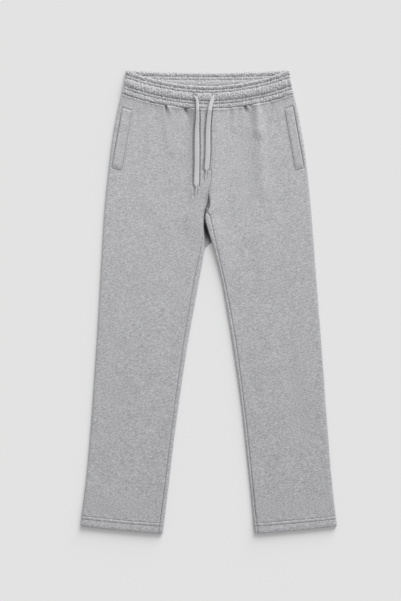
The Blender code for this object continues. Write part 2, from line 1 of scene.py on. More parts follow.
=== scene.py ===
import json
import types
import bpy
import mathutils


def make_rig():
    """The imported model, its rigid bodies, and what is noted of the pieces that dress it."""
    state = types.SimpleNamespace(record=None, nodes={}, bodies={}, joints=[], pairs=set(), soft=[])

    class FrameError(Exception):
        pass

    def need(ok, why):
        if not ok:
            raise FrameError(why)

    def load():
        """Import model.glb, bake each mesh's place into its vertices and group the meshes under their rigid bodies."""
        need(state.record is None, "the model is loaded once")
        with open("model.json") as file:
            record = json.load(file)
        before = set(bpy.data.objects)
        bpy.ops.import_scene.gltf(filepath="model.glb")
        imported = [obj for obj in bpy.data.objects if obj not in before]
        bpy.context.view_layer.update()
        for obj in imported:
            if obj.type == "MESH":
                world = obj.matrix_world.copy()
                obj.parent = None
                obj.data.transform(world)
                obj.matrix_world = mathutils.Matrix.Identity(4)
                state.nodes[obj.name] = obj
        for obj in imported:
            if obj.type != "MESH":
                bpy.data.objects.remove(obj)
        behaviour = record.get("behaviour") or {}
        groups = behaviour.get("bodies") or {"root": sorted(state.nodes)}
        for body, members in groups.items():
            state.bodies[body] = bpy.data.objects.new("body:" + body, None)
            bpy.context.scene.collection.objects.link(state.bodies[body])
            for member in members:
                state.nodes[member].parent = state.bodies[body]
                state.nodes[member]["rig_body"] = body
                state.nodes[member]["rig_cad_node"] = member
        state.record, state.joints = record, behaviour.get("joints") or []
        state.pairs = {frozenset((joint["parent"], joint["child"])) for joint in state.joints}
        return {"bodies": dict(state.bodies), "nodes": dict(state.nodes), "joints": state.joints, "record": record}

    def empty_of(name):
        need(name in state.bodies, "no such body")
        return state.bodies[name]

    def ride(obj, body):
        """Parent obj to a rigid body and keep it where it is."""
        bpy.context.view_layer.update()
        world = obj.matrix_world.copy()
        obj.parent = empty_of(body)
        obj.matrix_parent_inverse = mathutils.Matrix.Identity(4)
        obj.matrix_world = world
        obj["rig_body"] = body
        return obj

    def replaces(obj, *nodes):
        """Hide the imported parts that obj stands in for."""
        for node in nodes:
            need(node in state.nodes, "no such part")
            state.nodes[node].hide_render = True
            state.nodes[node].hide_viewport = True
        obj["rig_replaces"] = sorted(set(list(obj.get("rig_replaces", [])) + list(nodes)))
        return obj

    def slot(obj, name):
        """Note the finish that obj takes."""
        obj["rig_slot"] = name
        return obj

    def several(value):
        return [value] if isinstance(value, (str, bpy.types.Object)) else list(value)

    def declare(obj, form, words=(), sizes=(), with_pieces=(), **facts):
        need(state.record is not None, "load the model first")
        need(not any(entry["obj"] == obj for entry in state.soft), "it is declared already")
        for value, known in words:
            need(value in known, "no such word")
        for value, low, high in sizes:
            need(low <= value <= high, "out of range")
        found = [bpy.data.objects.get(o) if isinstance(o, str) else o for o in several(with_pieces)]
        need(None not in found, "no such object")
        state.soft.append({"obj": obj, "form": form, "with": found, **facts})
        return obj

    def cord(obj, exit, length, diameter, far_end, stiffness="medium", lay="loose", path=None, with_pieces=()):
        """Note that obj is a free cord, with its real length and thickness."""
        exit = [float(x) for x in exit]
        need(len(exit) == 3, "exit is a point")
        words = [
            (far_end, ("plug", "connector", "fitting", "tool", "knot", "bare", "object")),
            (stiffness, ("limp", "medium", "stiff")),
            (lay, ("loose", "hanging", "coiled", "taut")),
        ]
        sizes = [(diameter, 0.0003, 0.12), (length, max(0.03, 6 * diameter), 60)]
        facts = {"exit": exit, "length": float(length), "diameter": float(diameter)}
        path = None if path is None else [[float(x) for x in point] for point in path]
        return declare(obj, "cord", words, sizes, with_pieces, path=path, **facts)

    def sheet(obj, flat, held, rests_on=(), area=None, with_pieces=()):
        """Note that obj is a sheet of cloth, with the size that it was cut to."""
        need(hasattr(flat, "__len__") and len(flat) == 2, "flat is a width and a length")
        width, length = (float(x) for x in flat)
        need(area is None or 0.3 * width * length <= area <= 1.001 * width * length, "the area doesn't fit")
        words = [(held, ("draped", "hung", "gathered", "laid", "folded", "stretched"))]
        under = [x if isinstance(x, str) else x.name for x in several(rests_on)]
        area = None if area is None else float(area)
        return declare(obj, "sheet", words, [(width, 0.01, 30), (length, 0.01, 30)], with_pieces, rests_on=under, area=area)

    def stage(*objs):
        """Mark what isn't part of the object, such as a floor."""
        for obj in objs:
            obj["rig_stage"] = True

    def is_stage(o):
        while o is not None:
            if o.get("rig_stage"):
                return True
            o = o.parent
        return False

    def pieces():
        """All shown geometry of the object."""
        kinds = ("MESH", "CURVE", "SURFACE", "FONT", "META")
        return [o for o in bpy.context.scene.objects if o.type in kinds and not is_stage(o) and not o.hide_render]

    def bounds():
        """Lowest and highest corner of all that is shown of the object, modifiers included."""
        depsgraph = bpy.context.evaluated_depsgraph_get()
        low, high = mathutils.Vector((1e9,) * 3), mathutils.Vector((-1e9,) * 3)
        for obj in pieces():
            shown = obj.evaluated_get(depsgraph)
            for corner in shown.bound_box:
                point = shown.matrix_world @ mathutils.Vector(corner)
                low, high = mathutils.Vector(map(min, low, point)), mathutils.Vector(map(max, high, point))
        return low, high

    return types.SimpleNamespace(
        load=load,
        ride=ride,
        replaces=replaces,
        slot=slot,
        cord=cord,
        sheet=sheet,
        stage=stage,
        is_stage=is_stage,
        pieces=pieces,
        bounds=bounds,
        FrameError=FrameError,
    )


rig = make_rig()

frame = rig.load()
cad_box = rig.bounds()

# Looks of the straight-leg sweatpants that lie flat on their back, front up.
# Frame: metres, +Z up, floor at z = 0, +Y towards the waist, +X towards the wearer's left leg.
# Lengths in the tables are millimetres. `out` is a distance from the middle line, measured away
# from it on that leg's side. Every shell follows the flattened tubes that the CAD solids follow.

import json
import math
from collections import namedtuple

import bpy
import numpy as np
from mathutils import Vector
from mathutils.bvhtree import BVHTree

MM = 0.001
RIGHT = "right"
LEFT = "left"
SIGN = {RIGHT: -1, LEFT: 1}


def table(fields, *rows):
    """Rows whose values have these names."""
    row_type = namedtuple("Row", fields)
    return tuple(row_type(*row) for row in rows)


def by_side(fields, right, left):
    return dict(zip(SIGN, table(fields, right, left)))


# A ridge, or below 0 a groove: its height, where it lies on some measure, and its half width
Ridge = namedtuple("Ridge", "height at half")


# -------- the cut, as in the CAD solids

WALL = 2.2               # brushed fleece
HEM_WALL = 3.7           # two plies of it
BAND_WALL = 3.8          # folded fleece with the elastic inside
SEAM_GAP = 0.3
LAYER_GAP = 0.8
THINNEST = 0.6           # of the front and of the band, where they sink deepest
UNDER_GAP = 0.25         # the upper layer's inner face stays this far above the lower layer

BAND_TOP_Y = 524.5
BAND_HEIGHT = 52.0
DIPS = {True: 35.0, False: 5.6}      # of the front half's top edge and of the back half's
DIP_POWER = 1.9
HEM_SIDE_Y = -508.6
HEM_INNER_Y = -524.5
HEM_BOW = 0.25
HEM_HEIGHT = 24.5
HEM_PLY_EDGE = 1.5       # the turned-in ply ends over this height
CROTCH_Y = 206.0
CREASE_LENGTH = 42.0
SEAT_CREASE_LENGTH = 34.0

STACK = 2 * WALL + LAYER_GAP
HEM_STACK = 2 * HEM_WALL + 0.4
BAND_STACK = 2 * BAND_WALL + 0.8
BAND_FOLD = (BAND_STACK - SEAM_GAP) / 2
HEM_SETTLE = 16.0
BAND_SETTLE = 20.0
DOME = 0.3
EDGE_RISE = 0.7          # beside a folded edge, where seam allowances lie inside
DOME_REACH = 34.0
HEM_FLATNESS = 0.6
FRONT_TAIL_FLAT = 3.0
BACK_TAIL_FLAT = 8.0
SLIVER = 0.001

# The ends of each welt's middle line, as out, y
WELTS = by_side("top bottom width",
                ((184.7, 436.4), (208.7, 301.1), 21.0), ((181.0, 439.6), (206.1, 301.1), 18.5))
WELT_THICK = 1.8
WELT_SLANT = 2.6

TAPE_WIDE = 10.8
TAPE_THICK = 2.8
BUNCH_WIDE = {RIGHT: 6.2, LEFT: 8.8}
BUNCH_THICK = 4.6
BUNCH_LENGTH = 105.0
EXIT_WIDE = 3.0          # where the tape is folded together to leave the band
EXIT_LENGTH = 14.0
TIP_DIAMETER = 3.0

OUTSEAMS = table(
    "y right left",
    (525, 187.3, 183.4), (500, 191.7, 186.5), (474, 196.8, 192.1), (440, 205.2, 200.8),
    (372, 217.7, 213.8), (308, 225.6, 222.5), (213, 235.3, 232.2), (118, 241.4, 239.3),
    (-9, 248.5, 249.0), (-136, 256.4, 258.6), (-264, 265.5, 267.9), (-391, 276.4, 278.1),
    (-510, 291.0, 291.0),
)
INNER_LEGS = table(
    "y right left right_inset left_inset",
    (206, 5.6, -5.6, 0.0, 0.0), (199, 8.6, -8.6, 0.0, 9.0), (193, 9.6, -9.6, 0.0, 12.5),
    (183, 10.2, -8.6, 0.0, 13.6), (174, 10.2, -6.0, 0.3, 13.2), (156, 9.6, -0.9, 2.6, 11.9),
    (140, 9.2, 4.4, 6.0, 9.9), (106, 11.6, 14.8, 9.7, 7.1), (50, 21.7, 29.1, 11.6, 5.6),
    (4, 29.9, 37.6, 11.8, 6.6), (-87, 46.3, 52.8, 10.4, 7.6), (-223, 66.7, 72.8, 9.6, 6.0),
    (-314, 78.8, 83.0, 9.2, 6.0), (-404, 89.4, 92.5, 9.4, 6.0), (-525, 104.0, 104.6, 10.2, 6.0),
)
FRONT_SEAM = table(
    "y x",
    (480, 1.4), (438, 2.4), (390, 6.7), (290, 6.4), (252, 0.9), (230, 0.4), (218, -0.6),
    (212, -2.8), (206, -5.6),
)
SEAT_SEAM = table("y x", (480, -3.6), (340, -4.1), (206, -5.6))

ROUTES = {
    RIGHT: table(
        "x y",
        (-33.1, 466.0), (-27.7, 459.0), (-25.8, 452.0), (-25.3, 435.5), (-25.5, 412.0),
        (-26.6, 388.0), (-26.8, 318.0), (-28.2, 260.0),
    ),
    LEFT: table(
        "x y",
        (11.0, 466.0), (6.4, 452.0), (2.6, 435.5), (-0.1, 412.0), (-1.7, 388.0), (-2.2, 336.0),
        (-5.2, 296.0),
    ),
}
TIP_ENDS = by_side("x y", (-30.2, 238.2), (-7.8, 276.0))
CORD_DENT = 3.0
CORD_DENT_EDGE = 2.2
CORD_DENT_SIDE = 2.0     # the dent is so much wider on the wearer's right of a cord
CORD_DENT_DEEPER = 1.4   # and so much deeper
CORD_DENT_BELOW = 0.3    # what is left of it beneath the cord
CORD_SLOPE = 0.13        # the steepest that a cord runs down from what it lies on

# -------- relief of the cloth

# Folds: a straight run, its half width and its height (below 0: a trough). Each fades out over
# its two ends, given as shares of its length.
FOLD_START = 0.25
FOLD_END = 0.35
FOLD_FIELDS = "x0 y0 x1 y1 half_width height"
FRONT_FOLDS = table(
    FOLD_FIELDS,
    (-98, 450, -95, 350, 7, 1.0), (-86, 452, -84, 330, 19, 1.8), (54, 450, 56, 385, 7, 1.2),
    (106, 455, 114, 370, 11, 4.2), (114, 395, 125, 230, 14, 2.3), (80, 390, 88, 185, 20, -1.3),
    (-153, 250, -73, 150, 26, 0.6), (147, 250, 87, 120, 26, 0.6), (-123, 0, -153, -240, 24, 0.6),
    (127, -20, 162, -260, 24, 0.6), (-193, -180, -218, -420, 22, -0.6),
    (197, -160, 222, -400, 22, -0.6),
)
SEAT_FOLDS = table(
    FOLD_FIELDS,
    (-63, 455, -69, 330, 11, -0.8), (45, 450, 52, 300, 12, -0.9), (117, 455, 125, 350, 9, -0.7),
    (-133, 440, -153, 290, 14, -0.6), (-25, 260, -73, 150, 12, -0.7), (17, 250, 63, 120, 14, -0.7),
    (-113, 60, -143, -200, 20, -0.5), (137, 40, 167, -240, 22, -0.5),
    (-183, -200, -208, -430, 18, -0.4), (187, -180, 212, -420, 20, -0.4),
)

# Puckers that hang from the waist seam: place along it, how deep, how wide, how far they run
# down, and how far they lean aside for each millimetre of the way
PUCKER_FIELDS = "x depth half_width length lean"
FRONT_PUCKERS = table(
    PUCKER_FIELDS,
    (-174.6, 0.7, 3.0, 16, -0.10), (-148.6, 1.0, 3.2, 18, -0.05), (-122.6, 0.8, 3.0, 20, 0.00),
    (-97.4, 9.0, 1.7, 12, 0.12), (-99.0, 1.2, 4.5, 34, 0.04), (-53.0, 9.5, 2.3, 11, 0.06),
    (-46.5, 4.4, 5.8, 25, 0.12), (-14.6, 0.8, 3.0, 26, 0.00), (23.4, 0.9, 3.2, 24, 0.00),
    (48.4, 1.3, 3.2, 28, -0.03), (67.4, 0.8, 2.8, 18, 0.05), (82.6, 9.0, 2.3, 12, 0.14),
    (95.0, 2.6, 5.0, 36, 0.06), (115.4, 0.9, 3.4, 20, 0.08), (138.4, 1.2, 3.2, 20, 0.10),
    (164.4, 0.9, 3.0, 16, 0.12),
)
SEAT_PUCKERS = table(
    PUCKER_FIELDS,
    (-152.6, 0.8, 3.2, 20, -0.08), (-110.6, 1.2, 3.6, 30, -0.03), (-64.6, 1.0, 3.4, 24, 0.00),
    (-26.6, 0.8, 3.0, 22, 0.00), (31.4, 1.1, 3.6, 28, 0.02), (75.4, 0.9, 3.2, 22, 0.04),
    (119.4, 1.2, 3.6, 30, 0.05), (157.4, 0.8, 3.0, 18, 0.10),
)
PUCKER_WIDENS = 0.9      # over its length, as a share
PUCKER_RIM = 0.3         # height of the rim beside it, as a share of its depth
PUCKER_RIM_AT = 2.2      # half widths away
CRIMP = 0.42             # small crimps at the waist seam
CRIMP_LENGTH = 9.0

# The front stands up on both sides of its middle seam and of the crotch: heights at these y,
# level up to a distance from the seam or the inner fold, and then falling
CENTRE_RISES = table(
    "y right left",
    (480, 1.0, 0.6), (455, 3.0, 1.8), (435, 5.6, 4.4), (380, 5.6, 5.0), (330, 5.0, 4.8),
    (290, 4.0, 4.8), (262, 4.2, 5.0), (246, 3.6, 5.2), (230, 2.6, 5.6), (206, 2.4, 6.0),
    (180, 2.0, 5.8), (150, 1.4, 4.8), (118, 0.8, 3.4), (84, 0.4, 2.2), (50, 0.0, 1.2),
    (10, 0.0, 0.4), (-30, 0.0, 0.0),
)
RISE_SHAPES = by_side("level fall", (32.0, 12.5), (8.0, 27.0))
FIRMNESS = Ridge(4.0, 170.0, 45.0)        # about here the relief keeps further off the folded sides
# The crease where the front seam meets the crotch
CREASES = by_side("sink roll", (Ridge(6.5, 214.0, 15.0), 5.0), (Ridge(5.5, 214.0, 15.0), 2.6))
# Light hardly reaches these places, whose cloth is darkened by a share from 0 to 1:
# the crease, at these heights and so far aside
CREASE_SHADE = Ridge(1.15, 213.0, 24.0)
CREASE_SHADE_REACH = {RIGHT: 5.2, LEFT: 3.2}
# the sides of the folds next to the crotch, up to so far from their outermost lines
FOLD_SHADE_REACH = {RIGHT: 0.8, LEFT: 1.6}
FOLD_SHADE_END = 116.0
FOLD_SHADE_FADE = 42.0
# deep puckers and the waist seam where it gapes: from this depth, and full over so much more
PUCKER_SHADE = (1.6, 11.0)
TUCK_SHADE = (1.0, 6.5)
# the inner edge of a welt
WELT_SHADE = {RIGHT: Ridge(0.32, 0.6, 1.3), LEFT: Ridge(0.0, 0.6, 1.3)}
# and beside the drawstring's ends, on the wearer's right and left of each
CORD_SHADE = 0.5
CORD_SHADE_REACH = {RIGHT: (2.6, 4.6), LEFT: (2.2, 2.2)}
CORD_SHADE_END = 300.0
CORD_SHADE_FADE = 130.0
# The fold of the wearer's right leg spreads under the other one, down to here; in the gap between the legs fold_shade
# darkens it with painted shade, standing in for the deep shadow there
WEB_END = 121.0
WEB_TAPER = 15.0
WEB_GAP = -0.6
WEB_INSIDE = 0.5         # the share of it that the inner face follows

WAIST_TUCK = 5.0         # sink of the cloth at the waist seam
WAIST_ROLL = 2.4
ROLL_LEAST = 0.65        # its share where the seam is shut
ROLL_GROWTH = 0.42       # and what each share of gape adds
WAIST_LIP = Ridge(0.7, 3.2, 1.8)         # just below it
# Where that seam gapes wider, or below 0, less: along it, half width, share
WAIST_GAPES = table(
    "x half_width share",
    (-172, 30, -0.3), (-128, 5, 0.6), (-104, 7, 1.4), (-57, 6, 1.9), (40, 10, 1.1), (89, 10, 2.0),
    (148, 14, 1.3),
)
SEAM_SINK = 1.3          # and at the other seams
SEAM_ROLL = 2.6
SEAM_RIPPLE = 0.22       # puckering along them
SEAM_RIPPLE_LENGTH = 9.0
SEAM_RIPPLE_REACH = 9.0
SEAM_SEEDS = {RIGHT: 51, LEFT: 61}
SEAM_FAINT = 0.85        # the middle seam shows less by this share above a height
SEAM_FAINT_Y = 228.0
SEAM_FAINT_OVER = 18.0

HEM_ROWS = (Ridge(-0.95, 15.9, 0.85), Ridge(-0.85, 23.4, 0.85))
HEM_RIDGE = Ridge(0.35, (HEM_ROWS[0].at + HEM_ROWS[1].at) / 2, 1.8)
HEM_PUFF = Ridge(0.55, 6.5, 4.5)          # below the rows
HEM_EASE = 70.0          # the laid front runs down from the thick hem over this length
HEM_ROPE = 0.08          # slant ripples that the twin needles pull into the hem
HEM_ROPE_LENGTH = 13.0
HEM_ROPE_SLANT = 0.9
HEM_WAVE = Ridge(0.16, 26.0, 9.0)         # and the longer ones above it

# Unevenness of laid cloth: size across, size down and height, and the seed of its noise
MOTTLES = table("across down height seed", (70, 120, 0.30, 11), (30, 46, 0.18, 12), (13, 16, 0.08, 13))
MOTTLE_SLANT = 0.2

# Waistband
# padding: of the channel above the row; pinch: of the crimps that end at it
BAND_ROWS = table(
    "down groove half padding pinch",
    (9.3, 1.9, 1.2, 0.5, 3.4), (16.0, 1.5, 0.8, 0.5, 0.8), (34.5, 3.2, 1.0, 1.8, 2.3),
    (41.7, 1.6, 0.8, 0.65, 0.8),
)
LAST_PADDING = 0.9
PADDING_POWER = 2.7
ROW_UNEVEN = 0.9         # of the grooves, along them
END_DROP = 1.4           # of the rows towards the ends of the band, below its top edge
END_DROP_OVER = 8.0
LEVEL_FROM = 20.0        # but from here down the wearer's right half of them gets level
LEVEL_OVER = 25.0
INSIDE_RELIEF = 0.55     # how much of it shows on the inside of the back half
HIDDEN_RELIEF = 0.35     # and on the faces that lie on each other
BAND_SEAM_SINK = 1.7
BAND_SEAM_ROLL = 1.9
CALM_SEAM_X = -104.0     # from here to the wearer's right it sinks less, by this share
CALM_SEAM_OVER = 45.0
CALM_SEAM = 0.7
TOP_EDGE_ROLL = 2.8
GATHER_SPACING = 6.2
GATHER_DEPTH = 1.7
GATHER_FINE = 0.8
GATHER_SPECKS = 1.05
PINCH_SPACING = 5.4
PINCH_SLANT = 0.8
TOP_GATHER_SLANT = 0.6   # of the gathers above the first row
CREVICE = Ridge(-0.5, 0.6, 1.3)           # where the front half's top edge rests on the back half
CREVICE_REACH = 0.6      # a share of the half band
EYELET_DEPTH = 1.9
EYELET_REACH = 8.0
TOP_EDGE_WAVE = 0.6

# Welts
# in the front, outside each edge of a welt: where the pocket opens, and beside that
OPENING = (Ridge(-2.9, 1.2, 1.2), Ridge(0.5, 6.0, 4.0))
WELT_INNER = {RIGHT: Ridge(-0.55, 0.8, 1.2), LEFT: Ridge(-0.275, 0.8, 1.2)}
WELT_TOP = Ridge(-1.9, 0.8, 1.2)
WELT_BOTTOM = Ridge(-0.55, 0.8, 1.2)
WELT_STITCH_INSET = 2.2

# Thread
STITCH_LENGTH = 2.3
STITCH_PITCH = 3.0
STITCH_WOBBLE = 0.12
THREAD_RADIUS = 0.26


# -------- smooth curves, steps and noise

def curve_through(rows, column):
    """A smooth function of height through a table's column, straight on past its ends."""
    ys, vs = np.array(sorted((row.y, getattr(row, column)) for row in rows), float).T
    before = np.maximum(np.arange(len(ys)) - 1, 0)
    after = np.minimum(np.arange(len(ys)) + 1, len(ys) - 1)
    slopes = (vs[after] - vs[before]) / (ys[after] - ys[before])

    def at(height):
        height = np.asarray(height, float)
        i = np.clip(np.searchsorted(ys, height) - 1, 0, len(ys) - 2)
        span = ys[i + 1] - ys[i]
        t = np.clip((height - ys[i]) / span, 0, 1)
        from_low = vs[i] * (1 + 2 * t) + slopes[i] * span * t
        from_high = vs[i + 1] * (3 - 2 * t) + slopes[i + 1] * span * (t - 1)
        inside = from_low * (1 - t) ** 2 + from_high * t * t
        below = slopes[0] * np.minimum(height - ys[0], 0)
        return inside + below + slopes[-1] * np.maximum(height - ys[-1], 0)

    return at


def step(t):
    """0 below 0, 1 above 1, and a soft rise between."""
    t = np.clip(t, 0, 1)
    return t * t * (3 - 2 * t)


def between(value, low, high, fade, ahead=0.0):
    """1 between two limits, with a soft rise at both that starts a share of it ahead of them."""
    return step((value - low) / fade + ahead) * step((high - value) / fade + ahead)


def bell(distance, half_width):
    return np.exp(-(distance / half_width) ** 2)


def ridge_at(measure, ridge):
    return ridge.height * bell(measure - ridge.at, ridge.half)


def rounded(distance, radius):
    """How far a face has sunk at a distance from an edge that is rounded off by a quarter circle."""
    t = 1 - np.clip(distance / radius, 0, 1)
    return radius * (1 - np.sqrt(1 - t * t))


def soft_noise(x, y, size_x, size_y, seed):
    """Smooth noise from -1 to 1 with cells of this size."""
    cells = np.random.default_rng(seed).uniform(-1, 1, (64, 64))
    u = np.asarray(x, float) / size_x + 1000
    v = np.asarray(y, float) / size_y + 1000
    i = np.floor(u).astype(int)
    j = np.floor(v).astype(int)
    s = step(u - i)
    t = step(v - j)
    low = cells[i % 64, j % 64] * (1 - s) + cells[(i + 1) % 64, j % 64] * s
    high = cells[i % 64, (j + 1) % 64] * (1 - s) + cells[(i + 1) % 64, (j + 1) % 64] * s
    return low * (1 - t) + high * t


def line_noise(x, size, seed):
    """The same along one line."""
    return soft_noise(x, 0 * x, size, 1, seed)


outseam = {side: curve_through(OUTSEAMS, side) for side in SIGN}
inner_fold = {side: curve_through(INNER_LEGS, side) for side in SIGN}
inseam_inset = {side: curve_through(INNER_LEGS, side + "_inset") for side in SIGN}
centre_height = {side: curve_through(CENTRE_RISES, side) for side in SIGN}
cord_x = {side: curve_through(ROUTES[side], "x") for side in SIGN}
front_seam = curve_through(FRONT_SEAM, "x")
seat_seam = curve_through(SEAT_SEAM, "x")


# -------- the flattened tube

def waist_dip(across, dip):
    return dip * (1 - np.abs(across) ** DIP_POWER)


def band_depth(across, down):
    """How far under the band's top edge a line lies that is `down` from it in the middle."""
    level = step((down - LEVEL_FROM) / LEVEL_OVER) * (across < 0)
    return down + END_DROP * (1 - level) * np.abs(across) ** 3 * step(down / END_DROP_OVER)


def band_y(across, down, dip):
    """Height of the line that lies so far under the band's top edge in the middle."""
    return BAND_TOP_Y - waist_dip(across, dip) - band_depth(across, down)


def waist_span(y):
    middle = (outseam[LEFT](y) - outseam[RIGHT](y)) / 2
    return middle, (outseam[LEFT](y) + outseam[RIGHT](y)) / 2 - BAND_FOLD


def hem_y(inwards):
    bow = (1 + HEM_BOW) * inwards - HEM_BOW * inwards ** 2
    return HEM_SIDE_Y + (HEM_INNER_Y - HEM_SIDE_Y) * bow


def stack_height(above_hem, below_band):
    from_hem = np.exp(-np.maximum(above_hem - HEM_HEIGHT, 0) / HEM_SETTLE)
    from_band = np.exp(-np.maximum(below_band, 0) / BAND_SETTLE)
    return STACK + (HEM_STACK - STACK) * from_hem + (BAND_STACK - STACK) * from_band


def wall_thickness(above_hem):
    turned = step((HEM_HEIGHT - above_hem) / HEM_PLY_EDGE + 1)
    return WALL + (HEM_WALL - WALL) * turned


FoldSpot = namedtuple("FoldSpot", "inset z lean rise")


def round_fold(run, radius):
    """Place on a folded side, `run` from its outermost line: up and over, or below 0, under."""
    angle = np.clip(run / radius, -math.pi / 2, math.pi / 2)
    beyond = np.maximum(np.abs(run) - math.pi * radius / 2, 0)
    inset = radius * (1 - np.cos(angle)) + beyond
    height = radius * (1 + np.sin(angle)) + np.where(run >= 0, SEAM_GAP, 0.0)
    return FoldSpot(inset, height, np.cos(angle), np.sin(angle))


def run_to_inset(inset, radius):
    over = inset - radius + math.pi * radius / 2
    return np.where(inset >= radius, over, radius * np.arccos(np.clip(1 - inset / radius, -1, 1)))


def inner_end(side, upper, y, radius):
    """Where a layer ends inwards: the fold's outermost line, and the layer's last run on it."""
    clearance = SEAM_GAP / 2 if upper else -SEAM_GAP / 2
    leg_line = inner_fold[side](y) + SEAM_GAP / 2
    leg_run = np.maximum(run_to_inset(inseam_inset[side](y), radius) + clearance, 0)
    turn = math.pi / 2 * step((y - CROTCH_Y) / (CREASE_LENGTH if upper else SEAT_CREASE_LENGTH))
    body_run = radius * turn if upper else -radius * turn - SLIVER
    seam_x = front_seam(y) if upper else seat_seam(y)
    body_line = SIGN[side] * seam_x + SEAM_GAP / 2 - round_fold(body_run, radius).inset
    on_leg = y < CROTCH_Y
    return np.where(on_leg, leg_line, body_line), np.where(on_leg, leg_run, body_run)


Columns = namedtuple("Columns", "inwards outer inner value")


def leg_columns(outer_count, across_count, inner_count):
    """The columns of a layer, from the outseam inwards, closer at the pocket and the middle."""
    outer = np.linspace(0, 1, outer_count)
    even = np.linspace(0, 1, across_count + 2)[1:-1]
    across = np.interp(even, (0, 0.20, 0.38, 1), (0, 0.2, 0.46, 1))
    inner = np.linspace(0, 1, inner_count)
    kind = np.repeat([0, 1, 2], [outer_count, across_count, inner_count])
    inwards = np.concatenate([outer * 0, across, inner * 0 + 1])
    return Columns(inwards, kind == 0, kind == 2, np.concatenate([outer, across, inner]))


Layer = namedtuple("Layer", "side upper x y above_hem below_band out z lean rise to_edge")


def flattened_tube(side, upper, columns, y, above_hem, below_band):
    """Where the columns cross these heights, before loft: places on the flattened tube's outside."""
    radius = (stack_height(above_hem, below_band) - SEAM_GAP) / 2
    quarter = math.pi * radius / 2
    way = 1 if upper else -1
    fold_line, last_run = inner_end(side, upper, y, radius)
    if upper:
        first_run = np.maximum(last_run, quarter) + FRONT_TAIL_FLAT
    else:
        first_run = -quarter - BACK_TAIL_FLAT
    outer_run = way * np.maximum(quarter * columns.value, SLIVER)
    inner_run = first_run + (last_run - first_run) * columns.value
    run = np.where(columns.outer, outer_run, np.where(columns.inner, inner_run, way * quarter))
    spot = round_fold(run, radius)
    outer_out = outseam[side](y)
    inner_out = fold_line + round_fold(first_run, radius).inset
    across_out = outer_out - radius + (inner_out - outer_out + radius) * columns.value
    out = np.where(columns.outer, outer_out - spot.inset,
                   np.where(columns.inner, fold_line + spot.inset, across_out))
    flat = ~(columns.outer | columns.inner)
    lean = np.where(columns.outer, spot.lean, np.where(columns.inner, -spot.lean, 0.0))
    rise = np.where(flat, way * 1.0, spot.rise)
    tail = np.abs(last_run - first_run)
    to_edge = np.where(columns.inner, tail * (1 - columns.value), np.abs(out - inner_out) + tail)
    return Layer(side, upper, SIGN[side] * out, y, above_hem, below_band, out, spot.z, lean, rise,
                 to_edge)


# -------- relief

def tape_size(side, gone):
    """Width and thickness of the tape at a distance from its exit: bunched, then flat."""
    flat = step(gone / BUNCH_LENGTH)
    leaving = EXIT_WIDE + (BUNCH_WIDE[side] - EXIT_WIDE) * step(gone / EXIT_LENGTH + 0.15)
    wide = leaving + (TAPE_WIDE - BUNCH_WIDE[side]) * flat
    return wide, BUNCH_THICK + (TAPE_THICK - BUNCH_THICK) * flat


def fold_relief(folds, x, y):
    total = 0 * x
    for fold in folds:
        length = math.hypot(fold.x1 - fold.x0, fold.y1 - fold.y0)
        along = ((fold.x1 - fold.x0) / length, (fold.y1 - fold.y0) / length)
        run = ((x - fold.x0) * along[0] + (y - fold.y0) * along[1]) / length
        aside = along[0] * (y - fold.y0) - along[1] * (x - fold.x0)
        ends = step(run / FOLD_START + 0.5) * step((1 - run) / FOLD_END + 0.3)
        total += fold.height * ends * bell(aside, fold.half_width)
    return total


def pucker_relief(puckers, x, below_band):
    total = 0 * x
    down = np.maximum(below_band, 0)
    for pucker in puckers:
        aside = x - pucker.x - pucker.lean * down
        width = pucker.half_width * (1 + PUCKER_WIDENS * down / pucker.length)
        depth = pucker.depth * np.exp(-(down / pucker.length) ** 1.4)
        total += depth * (PUCKER_RIM * bell(aside - PUCKER_RIM_AT * width, width) - bell(aside, width))
    fine = line_noise(x, 4.2, 31) + 0.6 * line_noise(x, 2.3, 32)
    return total + CRIMP * fine * np.exp(-down / CRIMP_LENGTH)


def mottle_relief(x, y):
    total = 0 * x
    for mottle in MOTTLES:
        place = x + MOTTLE_SLANT * y
        total += mottle.height * soft_noise(place, y, mottle.across, mottle.down, mottle.seed)
    return total


def welt_axes(side):
    """The top of a welt's middle line, the directions along it and outwards, and its length."""
    top, bottom = np.array(WELTS[side][:2])
    length = np.linalg.norm(bottom - top)
    along = (bottom - top) / length
    return top, along, np.array((-along[1], along[0])), length


def welt_spot(side, along, aside):
    """x and y at a distance along a welt, from its top, and aside of its middle line, outwards."""
    top, ahead, outwards, _ = welt_axes(side)
    run = along - aside / WELTS[side].width * WELT_SLANT
    out, y = (top[k] + ahead[k] * run + outwards[k] * aside for k in (0, 1))
    return SIGN[side] * out, y


def welt_place(side, x, y):
    """The reverse: the distances along a welt and aside that belong to x and y, and its length."""
    top, ahead, outwards, length = welt_axes(side)
    off_x = SIGN[side] * x - top[0]
    off_y = y - top[1]
    aside = off_x * outwards[0] + off_y * outwards[1]
    along = off_x * ahead[0] + off_y * ahead[1] + aside / WELTS[side].width * WELT_SLANT
    return along, aside, length


def welt_relief(side, x, y):
    """Grooves in the front where the pocket opens and along the other edges of the welt."""
    along, aside, length = welt_place(side, x, y)
    half = WELTS[side].width / 2
    beside = sum(ridge_at(aside - half, ridge) for ridge in OPENING)
    beside = beside + ridge_at(-aside - half, WELT_INNER[side])
    ends = ridge_at(-along, WELT_TOP) + ridge_at(along - length, WELT_BOTTOM)
    return beside * between(along, 0, length, 6, 0.6) + ends * step((half + 1 - np.abs(aside)) / 2 + 0.5)


